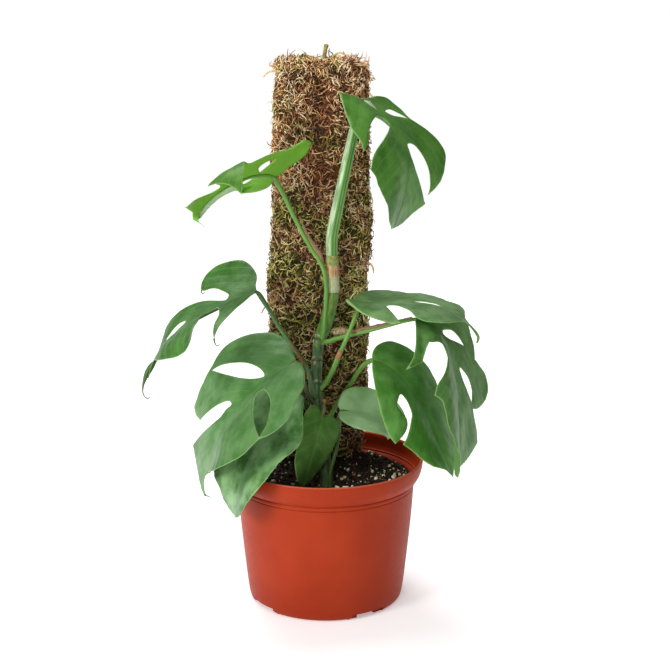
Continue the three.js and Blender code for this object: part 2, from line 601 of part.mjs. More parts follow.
// The blade's solid: the same triangles on its face and its back, and a wall round each line.
function bladeSolid(surface, outline, holes) {
  const flatLines = [outline, ...holes].map(sampleLine);
  const { lines, points, triangles } = splitMissed(flatLines, innerPoints(flatLines, surface.length));
  const middle = ([a, b, c]) => points[a].clone().add(points[b]).add(points[c]).divideScalar(3);
  const kept = triangles.filter((corners) => isInside(middle(corners), lines[0])
    && !lines.slice(1).some((hole) => isInside(middle(corners), hole)));
  const used = new Map();
  const positions = [[], []];
  for (const i of new Set(kept.flat())) {
    used.set(i, used.size);
    const centre = surface.point(points[i].y, points[i].x);
    const half = surface.normal(points[i].y, points[i].x).multiplyScalar(BLADE_THICKNESS / 2);
    positions[0].push(...centre.clone().add(half).toArray());
    positions[1].push(...centre.clone().sub(half).toArray());
  }
  const back = used.size;
  const index = [];
  const rimEdges = new Map();
  for (const corners of kept) {
    const [a, b, c] = corners.map((i) => used.get(i));
    index.push(a, b, c, back + a, back + c, back + b);
    for (const [p, q] of edgesOf([a, b, c])) {
      if (!rimEdges.delete(`${q},${p}`)) rimEdges.set(`${p},${q}`, [p, q]);
    }
  }
  for (const [p, q] of rimEdges.values()) index.push(q, p, back + p, q, back + p, back + q);
  const geometry = new THREE.BufferGeometry();
  geometry.setAttribute('position', new THREE.Float32BufferAttribute(positions.flat(), 3));
  geometry.setIndex(index);
  return toSolid(geometry);
}

// The petiole runs on under the blade's base, half sunk into it, as the foot of the midrib.
function petioleBar(leaf, extra) {
  const surface = new BladeSurface(leaf);
  const foot = [1, 6, 12].map((u, i) => {
    const depth = leaf.petioleRadius * (0.5 + 0.2 * i);
    return surface.point(u, 0).addScaledVector(surface.normal(u, 0), -depth);
  });
  return bar([...leaf.petiole.map(vec), ...foot], leaf.petioleRadius + extra, 8, 7);
}

function leafSolid(leaf) {
  const surface = new BladeSurface(leaf);
  return bladeSolid(surface, leaf.outline, leaf.holes).add(petioleBar(leaf, 0));
}

// ---------------------------------------------------------------- assembly
const plant = new THREE.Group();
const place = (name, solid, material) => plant.add(toMesh(name, solid, material));

const stemClearance = stem(GAP);
const poleClearance = toSolid(
  new THREE.ExtrudeGeometry(poleSection(MOSS_BULGE), { depth: 60, bevelEnabled: false })
    .translate(POLE_CENTRE.x, POLE_CENTRE.y, POLE_BOTTOM - GAP),
);
const stakeClearance = poleStake(GAP);
const rootedLeaf = LEAVES.find((leaf) => leaf.name === 'leaf_7');

place('pot', pot(), POT_PLASTIC);
place('soil', soil([stemClearance, poleClearance, stakeClearance, petioleBar(rootedLeaf, GAP)]), DARK_SOIL);
place('moss_pole', mossPole(stakeClearance), DRY_MOSS);
place('pole_stake', poleStake(0), WOOD);
place('stem', stem(0), GREEN_STEM);

const tallPetiole = petioleBar(LEAVES[0], GAP);
const upperSheath = bar(UPPER_SHEATH_PATH, 5.3, 12, 8).subtract(tallPetiole).subtract(stemClearance);
const leaf2Sheath = bar(LEAF_2_SHEATH_PATH, 1.2, 8, 8).subtract(petioleBar(LEAVES[1], GAP));
const aerialRoot = bar(AERIAL_ROOT_PATH, 2.6, 8, 5).subtract(stemClearance);
place('sheath_upper', upperSheath, PAPERY_SHEATH);
place('sheath_leaf_2', leaf2Sheath, PAPERY_SHEATH);
place('aerial_root', aerialRoot, PAPERY_SHEATH);

for (const leaf of LEAVES) {
  place(leaf.name, leafSolid(leaf).subtract(stemClearance), LEAF_GREEN);
}

export default plant;
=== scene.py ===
"""Looks of a mini monstera (Rhaphidophora tetrasperma) on a moss pole in a plastic nursery pot.

Lengths are in millimetres and become metres where a mesh is made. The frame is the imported
model's: the origin is the centre of the pot's underside, +Z is up and -Y is the front.
"""

import math

import bmesh
import bpy
import numpy as np
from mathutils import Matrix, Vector, geometry, noise


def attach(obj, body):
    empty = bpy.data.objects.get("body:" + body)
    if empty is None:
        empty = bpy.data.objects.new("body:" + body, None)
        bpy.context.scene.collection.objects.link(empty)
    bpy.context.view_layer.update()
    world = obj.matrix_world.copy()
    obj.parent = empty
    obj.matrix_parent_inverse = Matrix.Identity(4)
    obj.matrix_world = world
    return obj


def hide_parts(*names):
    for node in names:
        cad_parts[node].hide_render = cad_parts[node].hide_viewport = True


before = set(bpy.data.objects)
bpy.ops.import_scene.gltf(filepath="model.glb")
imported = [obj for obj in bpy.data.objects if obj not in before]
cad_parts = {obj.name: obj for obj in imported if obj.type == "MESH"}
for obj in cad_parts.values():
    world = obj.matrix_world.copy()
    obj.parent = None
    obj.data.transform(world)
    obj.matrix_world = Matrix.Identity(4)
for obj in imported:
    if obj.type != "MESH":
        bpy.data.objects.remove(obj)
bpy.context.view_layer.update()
MM = 0.001
RANDOM = np.random.default_rng(20240611)

# ---------------------------------------------------------------- sizes shared with the solids
POT_HEIGHT = 119
POT_WALL = 2
RIM_RADIUS = 80
BODY_TOP_RADIUS = 72.7
FOOT_RADIUS = 58
FLOOR_THICKNESS = 2
DRAIN_COUNT = 4
DRAIN_FIRST_AZIMUTH = 34
DRAIN_HEIGHT = 5
DRAIN_GATE = (16, 57.3)  # half width and inner radius of the wide opening through the wall
DRAIN_POCKET = (8.5, 47)  # the same for the narrow recess behind it
DRAIN_SLIT = (3, 8, 4, 52.5)  # width, length, offset to either side and radius

SOIL_LEVEL = 102
SOIL_RADIUS = 71
MOUND_HEIGHT = 11

POLE_CENTRE = np.array([-4.0, 43.0, 0.0])
POLE_WIDTH = 80
POLE_DEPTH = 34
POLE_CORNER = 14
POLE_BOTTOM = 82
SHOULDER = 434  # where the pole's straight sides end and its crown begins

STEM_FOOT = (1, -26)
STEM_RADIUS = 5.7


# ---------------------------------------------------------------- small helpers
def unit(vectors):
    return vectors / np.maximum(np.linalg.norm(vectors, axis=-1, keepdims=True), 1e-12)


def smoothstep(values, low, high):
    share = np.clip((values - low) / (high - low), 0, 1)
    return share * share * (3 - 2 * share)


def perlin(points, size, seed=0.0):
    """Smooth noise from about -1 to 1 at each point, with lumps of the given size."""
    moved = np.atleast_2d(points) / size + seed
    return np.array([noise.noise(Vector(p)) for p in moved.tolist()])


def angles(count):
    """Angles spread evenly over one turn."""
    return np.arange(count) * 2 * math.pi / count


def round_axis(radius, angle):
    """x and y at a distance from the Z axis, where angle 0 is the front."""
    return radius * np.sin(angle), -radius * np.cos(angle)


def rgb(red, green, blue):
    """A linear colour from its 0-255 display values."""
    shares = np.array([red, green, blue]) / 255
    linear = np.where(shares <= 0.04045, shares / 12.92, ((shares + 0.055) / 1.055) ** 2.4)
    return (*linear.tolist(), 1.0)


# ---------------------------------------------------------------- lines
POINTS_PER_SPAN = 16


def smooth_line(points):
    """A centripetal Catmull-Rom curve through the points, as a fine line."""
    knots = np.asarray(points, float)
    knots = np.vstack([2 * knots[0] - knots[1], knots, 2 * knots[-1] - knots[-2]])
    t = np.linspace(0, 1, POINTS_PER_SPAN, endpoint=False)[:, None]
    spans = []
    for a, b, c, d in zip(knots, knots[1:], knots[2:], knots[3:]):
        before, here, after = (
            max(np.linalg.norm(q - p), 1e-6) ** 0.5 for p, q in ((a, b), (b, c), (c, d))
        )
        leave = ((b - a) / before - (c - a) / (before + here) + (c - b) / here) * here
        arrive = ((c - b) / here - (d - b) / (here + after) + (d - c) / after) * here
        spans.append(
            (2 * t**3 - 3 * t**2 + 1) * b + (t**3 - 2 * t**2 + t) * leave
            + (3 * t**2 - 2 * t**3) * c + (t**3 - t**2) * arrive
        )
    return np.vstack([*spans, knots[-2:-1]])


def lengths_along(line):
    steps = np.linalg.norm(np.diff(line, axis=0), axis=1)
    return np.concatenate([[0.0], np.cumsum(steps)])


def at_lengths(line, wanted):
    """Points on the line at the wanted distances along it."""
    along = lengths_along(line)
    return np.stack([np.interp(wanted, along, line[:, k]) for k in range(line.shape[1])], 1)


def evenly(line, step):
    length = lengths_along(line)[-1]
    count = max(1, round(length / step))
    return at_lengths(line, np.linspace(0, length, count + 1))


def curve(points, step):
    """Evenly spaced points on the smooth curve through the given ones."""
    return evenly(smooth_line(points), step)


def girth_along(line, girths):
    """A radius for each point of the line, from even radii or from rows of [share, radius]."""
    rows = np.array(girths, float)
    if rows.ndim == 1:
        rows = np.column_stack([np.linspace(0, 1, len(rows)), rows])
    return np.interp(np.linspace(0, 1, len(line)), *rows.T)


# ---------------------------------------------------------------- meshes
class Shape:
    """Points and faces from several parts of one piece.

    Each point also carries a chart, three numbers that its material draws its pattern by, and
    a shade, one number such as a strand's tone or the distance from a leaf's margin.
    """

    def __init__(self):
        self.points, self.faces, self.finishes, self.charts, self.shades = [], [], [], [], []
        self.count = 0

    def add(self, points, faces, finish=0, chart=None, shade=0.5):
        for group in faces:
            self.faces.append(np.asarray(group, np.int64) + self.count)
            self.finishes.append(np.full(len(group), finish, np.int32))
        self.points.append(points)
        self.charts.append(np.zeros((len(points), 3)) if chart is None else chart)
        self.shades.append(np.broadcast_to(np.asarray(shade, float), (len(points),)))
        self.count += len(points)
        return self

    def mesh(self, name):
        mesh = bpy.data.meshes.new(name)
        corners = np.concatenate([group.ravel() for group in self.faces]).astype(np.int32)
        sizes = np.concatenate([np.full(len(g), g.shape[1], np.int32) for g in self.faces])
        starts = np.concatenate([[0], np.cumsum(sizes)[:-1]]).astype(np.int32)
        mesh.vertices.add(self.count)
        mesh.vertices.foreach_set("co", (np.vstack(self.points) * MM).astype(np.float32).ravel())
        mesh.loops.add(len(corners))
        mesh.loops.foreach_set("vertex_index", corners)
        mesh.polygons.add(len(sizes))
        mesh.polygons.foreach_set("loop_start", starts)
        mesh.polygons.foreach_set("material_index", np.concatenate(self.finishes))
        mesh.update(calc_edges=True)
        mesh.validate()
        chart = mesh.attributes.new("chart", "FLOAT_VECTOR", "POINT")
        chart.data.foreach_set("vector", np.vstack(self.charts).astype(np.float32).ravel())
        shade = mesh.attributes.new("shade", "FLOAT", "POINT")
        shade.data.foreach_set("value", np.concatenate(self.shades).astype(np.float32))
        mesh.shade_smooth()
        return mesh


def placed(name, data):
    """A new object in the scene with this mesh, light or camera."""
    made = bpy.data.objects.new(name, data)
    bpy.context.scene.collection.objects.link(made)
    return made


def show(name, mesh, finishes, replaced=()):
    """Makes the mesh a piece of the object, on the one body, with its materials."""
    piece = placed(name, mesh)
    for finish in finishes:
        mesh.materials.append(finish)
    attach(piece, "root")
    if replaced:
        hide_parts(*replaced)


def sharpen(mesh, degrees):
    """Marks the edges that turn more than this as sharp, so that only the rest look smooth."""
    work = bmesh.new()
    work.from_mesh(mesh)
    for edge in work.edges:
        edge.smooth = len(edge.link_faces) == 2 and edge.calc_face_angle() < math.radians(degrees)
    for face in work.faces:
        face.smooth = True
    work.to_mesh(mesh)
    work.free()


def ring_faces(rings, sides):
    """Quads between rings of points, and a fan of triangles over each end.

    The two points at the middles of the ends come after the rings."""
    k = np.arange(sides)
    turn = (k + 1) % sides
    row = sides * np.arange(rings)[:, None]
    quads = np.stack([row[:-1] + k, row[:-1] + turn, row[1:] + turn, row[1:] + k], -1)
    start = np.stack([np.full(sides, rings * sides), turn, k], 1)
    end = np.stack([np.full(sides, rings * sides + 1), row[-1] + k, row[-1] + turn], 1)
    return [quads.reshape(-1, 4), start, end]


def tube(line, radii, sides, relief=0.0, facing=(0, -1, 0), flatten=1.0):
    """A closed tube round a line. Angle 0 looks the way of facing; relief is a share of the
    radius for each point and angle. Its chart is (angle, distance along, share of the length)."""
    tangents = unit(np.gradient(line, axis=0))
    normals = [np.asarray(facing, float)]
    for tangent in tangents:
        normals.append(unit(normals[-1] - tangent * (normals[-1] @ tangent)))
    normals = np.array(normals[1:])
    sideways = np.cross(tangents, normals)
    angle = angles(sides)
    radius = np.broadcast_to(radii, (len(line),))[:, None] * (1 + relief) * np.ones((1, sides))
    rings = (
        line[:, None]
        + (radius * np.cos(angle))[..., None] * flatten * normals[:, None]
        + (radius * np.sin(angle))[..., None] * sideways[:, None]
    )
    dome = 0.35 * radius.mean(1)[[0, -1]]
    ends = [line[0] - tangents[0] * dome[0], line[-1] + tangents[-1] * dome[1]]
    points = np.vstack([rings.reshape(-1, 3), ends])
    along = lengths_along(line)
    share = along / along[-1]
    chart = np.stack([np.tile(angle, len(line)), np.repeat(along, sides), np.repeat(share, sides)], 1)
    chart = np.vstack([chart, [[0, 0, 0], [0, along[-1], 1]]])
    return points, ring_faces(len(line), sides), chart


# ---------------------------------------------------------------- materials
class Finish:
    """A procedural material. Each method adds a node and gives the socket that comes out."""

    def __init__(self, name, specular, subsurface=0.0, spread=None, sheen=0.0):
        self.material = bpy.data.materials.new(name)
        self.material.use_nodes = True
        self.tree = self.material.node_tree
        self.shader = self.tree.nodes["Principled BSDF"]
        self.shader.inputs["Specular IOR Level"].default_value = specular
        self.shader.inputs["Subsurface Weight"].default_value = subsurface
        self.shader.inputs["Subsurface Scale"].default_value = MM
        self.shader.inputs["Sheen Weight"].default_value = sheen
        if spread:
            self.shader.inputs["Subsurface Radius"].default_value = spread
        self.place = self.node("ShaderNodeTexCoord", {}, "Object")

    def feed(self, socket, value):
        if isinstance(value, bpy.types.NodeSocket):
            self.tree.links.new(value, socket)
        else:
            socket.default_value = value

    def node(self, kind, inputs, output=0, **settings):
        made = self.tree.nodes.new(kind)
        for name, value in settings.items():
            setattr(made, name, value)
        for name, value in inputs.items():
            self.feed(made.inputs[name], value)
        return made.outputs[output]

    def math(self, operation, a, b=0.0):
        return self.node("ShaderNodeMath", {0: a, 1: b}, operation=operation)

    def times(self, a, b):
        return self.math("MULTIPLY", a, b)

    def plus(self, a, b):
        return self.math("ADD", a, b)

    def minus(self, a, b):
        return self.math("SUBTRACT", a, b)

    def attribute(self, name, output):
        return self.node("ShaderNodeAttribute", {}, output, attribute_name=name)

    def chart(self):
        parts = self.tree.nodes.new("ShaderNodeSeparateXYZ")
        self.feed(parts.inputs[0], self.attribute("chart", "Vector"))
        return parts.outputs[0], parts.outputs[1], parts.outputs[2]

    def height(self):
        return self.node("ShaderNodeSeparateXYZ", {0: self.place}, 2)

    def shade(self):
        return self.attribute("shade", "Fac")

    def stretched(self, scale):
        return self.node("ShaderNodeMapping", {"Vector": self.place, "Scale": scale})

    def noise(self, size, detail=3.0, roughness=0.55, vector=None):
        """Noise from 0 to 1 with lumps of about this size in millimetres."""
        inputs = {
            "Vector": vector or self.place,
            "Scale": 1 / (size * MM),
            "Detail": detail,
            "Roughness": roughness,
        }
        return self.node("ShaderNodeTexNoise", inputs, "Fac")

    def cells(self, size):
        inputs = {"Vector": self.place, "Scale": 1 / (size * MM)}
        return self.node("ShaderNodeTexVoronoi", inputs, "Distance")

    def range(self, value, low, high, to_low=0.0, to_high=1.0):
        inputs = {0: value, 1: low, 2: high, 3: to_low, 4: to_high}
        return self.node("ShaderNodeMapRange", inputs, interpolation_type="SMOOTHSTEP")

    def mix(self, factor, a, b):
        return self.node("ShaderNodeMix", {0: factor, 6: a, 7: b}, 2, data_type="RGBA")

    def tint(self, a, b, value, low, high, to_low=0.0, to_high=1.0):
        """Colour a turning into b as the value goes from low to high."""
        return self.mix(self.range(value, low, high, to_low, to_high), a, b)

    def ramp(self, factor, stops):
        output = self.node("ShaderNodeValToRGB", {0: factor})
        elements = output.node.color_ramp.elements
        while len(elements) < len(stops):
            elements.new(0.5)
        for element, (position, colour) in zip(elements, stops):
            element.position = position
            element.color = colour
        return output

    def bump(self, height, distance, strength, under=None):
        inputs = {"Height": height, "Distance": distance * MM, "Strength": strength}
        if under is not None:
            inputs["Normal"] = under
        return self.node("ShaderNodeBump", inputs)

    def done(self, colour, roughness, normal=None):
        self.feed(self.shader.inputs["Base Color"], colour)
        self.feed(self.shader.inputs["Roughness"], roughness)
        if normal is not None:
            self.feed(self.shader.inputs["Normal"], normal)
        return self.material


def streaks(f, turns, stretch, size=1.6, detail=4.0):
    """Noise drawn out along a stalk: turns sets how many streaks stand side by side."""
    angle, along, _ = f.chart()
    inputs = {0: f.times(angle, turns), 1: f.times(along, stretch)}
    place = f.node("ShaderNodeCombineXYZ", inputs)
    return f.node("ShaderNodeTexNoise", {"Vector": place, "Scale": size, "Detail": detail}, "Fac")


LEAF_RADII = (0.5, 1.0, 0.3)  # how far red, green and blue light spreads inside a leaf
# Side veins run back from the midrib by this share of the distance across, and bend further.
VEIN_SLANT = 0.55
VEIN_BEND = 0.005
VEIN_STEP = 9.5
FINE_VEIN_STEP = 2.3


def leaf_skin(name, dark, light, gloss, back):
    """Waxy leaf: mottled green with painted sheen, thin pale margin, faint midrib, slanting side veins."""
    f = Finish(name, specular=gloss, subsurface=0.06, spread=LEAF_RADII)
    pale = rgb(150, 184, 110)
    v, u, side = f.chart()
    across = f.math("ABSOLUTE", v)
    bend = f.times(f.math("POWER", across, 2.0), VEIN_BEND)
    lean = f.plus(f.times(across, VEIN_SLANT), bend)
    wobble = f.times(f.noise(14, 1), 3.0)
    run = f.plus(f.minus(u, lean), wobble)
    main = f.range(f.math("PINGPONG", f.math("DIVIDE", run, VEIN_STEP), 0.5), 0.38, 0.5)
    fine = f.range(f.math("PINGPONG", f.math("DIVIDE", run, FINE_VEIN_STEP), 0.5), 0.2, 0.5)
    away = f.range(across, 0.5, 5)
    faint = f.plus(f.times(main, 0.10), f.times(fine, 0.05))
    veins = f.times(faint, away)
    # The mottling between the dark and the light green is partly the leaf's own tone and partly painted
    # sheen and shade.
    colour = f.tint(dark, light, f.noise(19, 5, 0.6), 0.34, 0.66)
    colour = f.mix(f.times(f.range(f.noise(1.5, 2), 0.35, 0.7), 0.05), colour, pale)
    colour = f.mix(veins, colour, pale)
    colour = f.tint(colour, pale, across, 0.3, 1.2, 0.08, 0.0)
    colour = f.tint(colour, pale, f.shade(), 0.15, 0.75, 0.60, 0.0)
    colour = f.tint(colour, back, side, -0.2, 0.2, 0.85, 0.0)
    rough = f.plus(f.times(f.noise(7, 3), 0.18), 0.30)
    creases = f.times(f.noise(2.4, 4, 0.65), 0.7)
    relief = f.plus(f.times(veins, 2.5), creases)
    return f.done(colour, rough, f.bump(relief, 0.25, 0.5))


def stalk_skin(name, dark, light, foot=None):
    """Leaf stalk: fine lengthwise streaks under a little pale dust."""
    f = Finish(name, specular=0.45, subsurface=0.05, spread=LEAF_RADII)
    lines = streaks(f, 1.6, 0.05)
    colour = f.tint(dark, light, lines, 0.35, 0.65)
    colour = f.tint(colour, rgb(150, 172, 112), f.noise(1.2, 2), 0.55, 0.75, 0.0, 0.2)
    scars = f.range(f.noise(3.2, 3), 0.62, 0.68, 0.0, 0.55)
    colour = f.mix(scars, colour, rgb(120, 104, 62))
    # A foot colour darkens the stalk towards its base: painted shade, with some of the base's own darker
    # tone.
    if foot:
        share = f.chart()[2]
        colour = f.tint(colour, foot, share, 0.15, 0.7, 0.85, 0.0)
    return f.done(colour, 0.42, f.bump(lines, 0.25, 0.4))


GROOVES = (0.12, 0.70)  # angles of the two grooves along leaf 1's stalk, whose dark colour is painted shade


def grooved_stalk_skin():
    """Leaf 1's stalk: whitish bloom down the left, a painted highlight, painted shade in two front grooves.
    """
    f = Finish("stalk_grooved", specular=0.4, subsurface=0.05, spread=LEAF_RADII)
    angle = f.chart()[0]
    lines = streaks(f, 1.8, 0.04)
    colour = f.tint(rgb(80, 136, 48), rgb(114, 168, 74), lines, 0.35, 0.65)
    # A painted highlight: a narrow paler band down the stalk's front right.
    painted_highlight = f.range(f.math("COSINE", f.minus(angle, 1.05)), 0.9, 0.98)
    colour = f.mix(f.times(painted_highlight, 0.6), colour, rgb(128, 170, 82))
    left = f.range(f.math("COSINE", f.plus(angle, 0.95)), 0.46, 0.62)
    bloom = f.tint(rgb(132, 162, 112), rgb(196, 210, 178), lines, 0.38, 0.62)
    colour = f.mix(f.times(left, 0.85), colour, bloom)
    # Painted shade: each groove is coloured darker.
    for groove in GROOVES:
        near = f.math("COSINE", f.minus(angle, groove))
        colour = f.tint(colour, rgb(44, 84, 30), near, 0.984, 0.997, 0.0, 0.7)
    return f.done(colour, 0.45, f.bump(lines, 0.25, 0.4))


# Tan, olive and brown moss, each from the darkest strands to the palest.
MOSS_STEPS = (0.0, 0.28, 0.55, 0.8, 1.0)
MOSS_TONES = [
    [(38, 20, 10), (128, 74, 42), (206, 142, 90), (246, 204, 146), (255, 242, 204)],
    [(24, 22, 8), (78, 72, 24), (146, 134, 50), (206, 190, 92), (244, 232, 160)],
    [(36, 18, 10), (114, 68, 40), (180, 124, 80), (232, 186, 130), (252, 232, 190)],
]


def moss(name):
    """Dried moss: tan at the top of the pole, olive with reddish-brown patches below."""
    f = Finish(name, specular=0.12, sheen=0.1)
    tone = f.shade()
    tan, olive, brown = (
        f.ramp(tone, list(zip(MOSS_STEPS, [rgb(*shade) for shade in shades]))) for shades in MOSS_TONES
    )
    tufts = f.times(f.minus(f.noise(5, 2), 0.5), 0.6)
    patches = f.range(f.plus(f.noise(36, 3), tufts), 0.44, 0.56)
    low = f.mix(patches, olive, brown)
    top = f.tint(tan, olive, f.plus(f.noise(24, 2), tufts), 0.52, 0.66, 0.0, 0.75)
    top = f.tint(top, brown, f.noise(11, 2), 0.52, 0.64, 0.0, 0.7)
    spread = f.times(f.minus(f.noise(30, 3), 0.5), 0.16)
    colour = f.tint(low, top, f.plus(f.height(), spread), 0.325, 0.345)
    return f.done(colour, 0.85, f.bump(f.noise(0.7, 3), 0.25, 0.5))


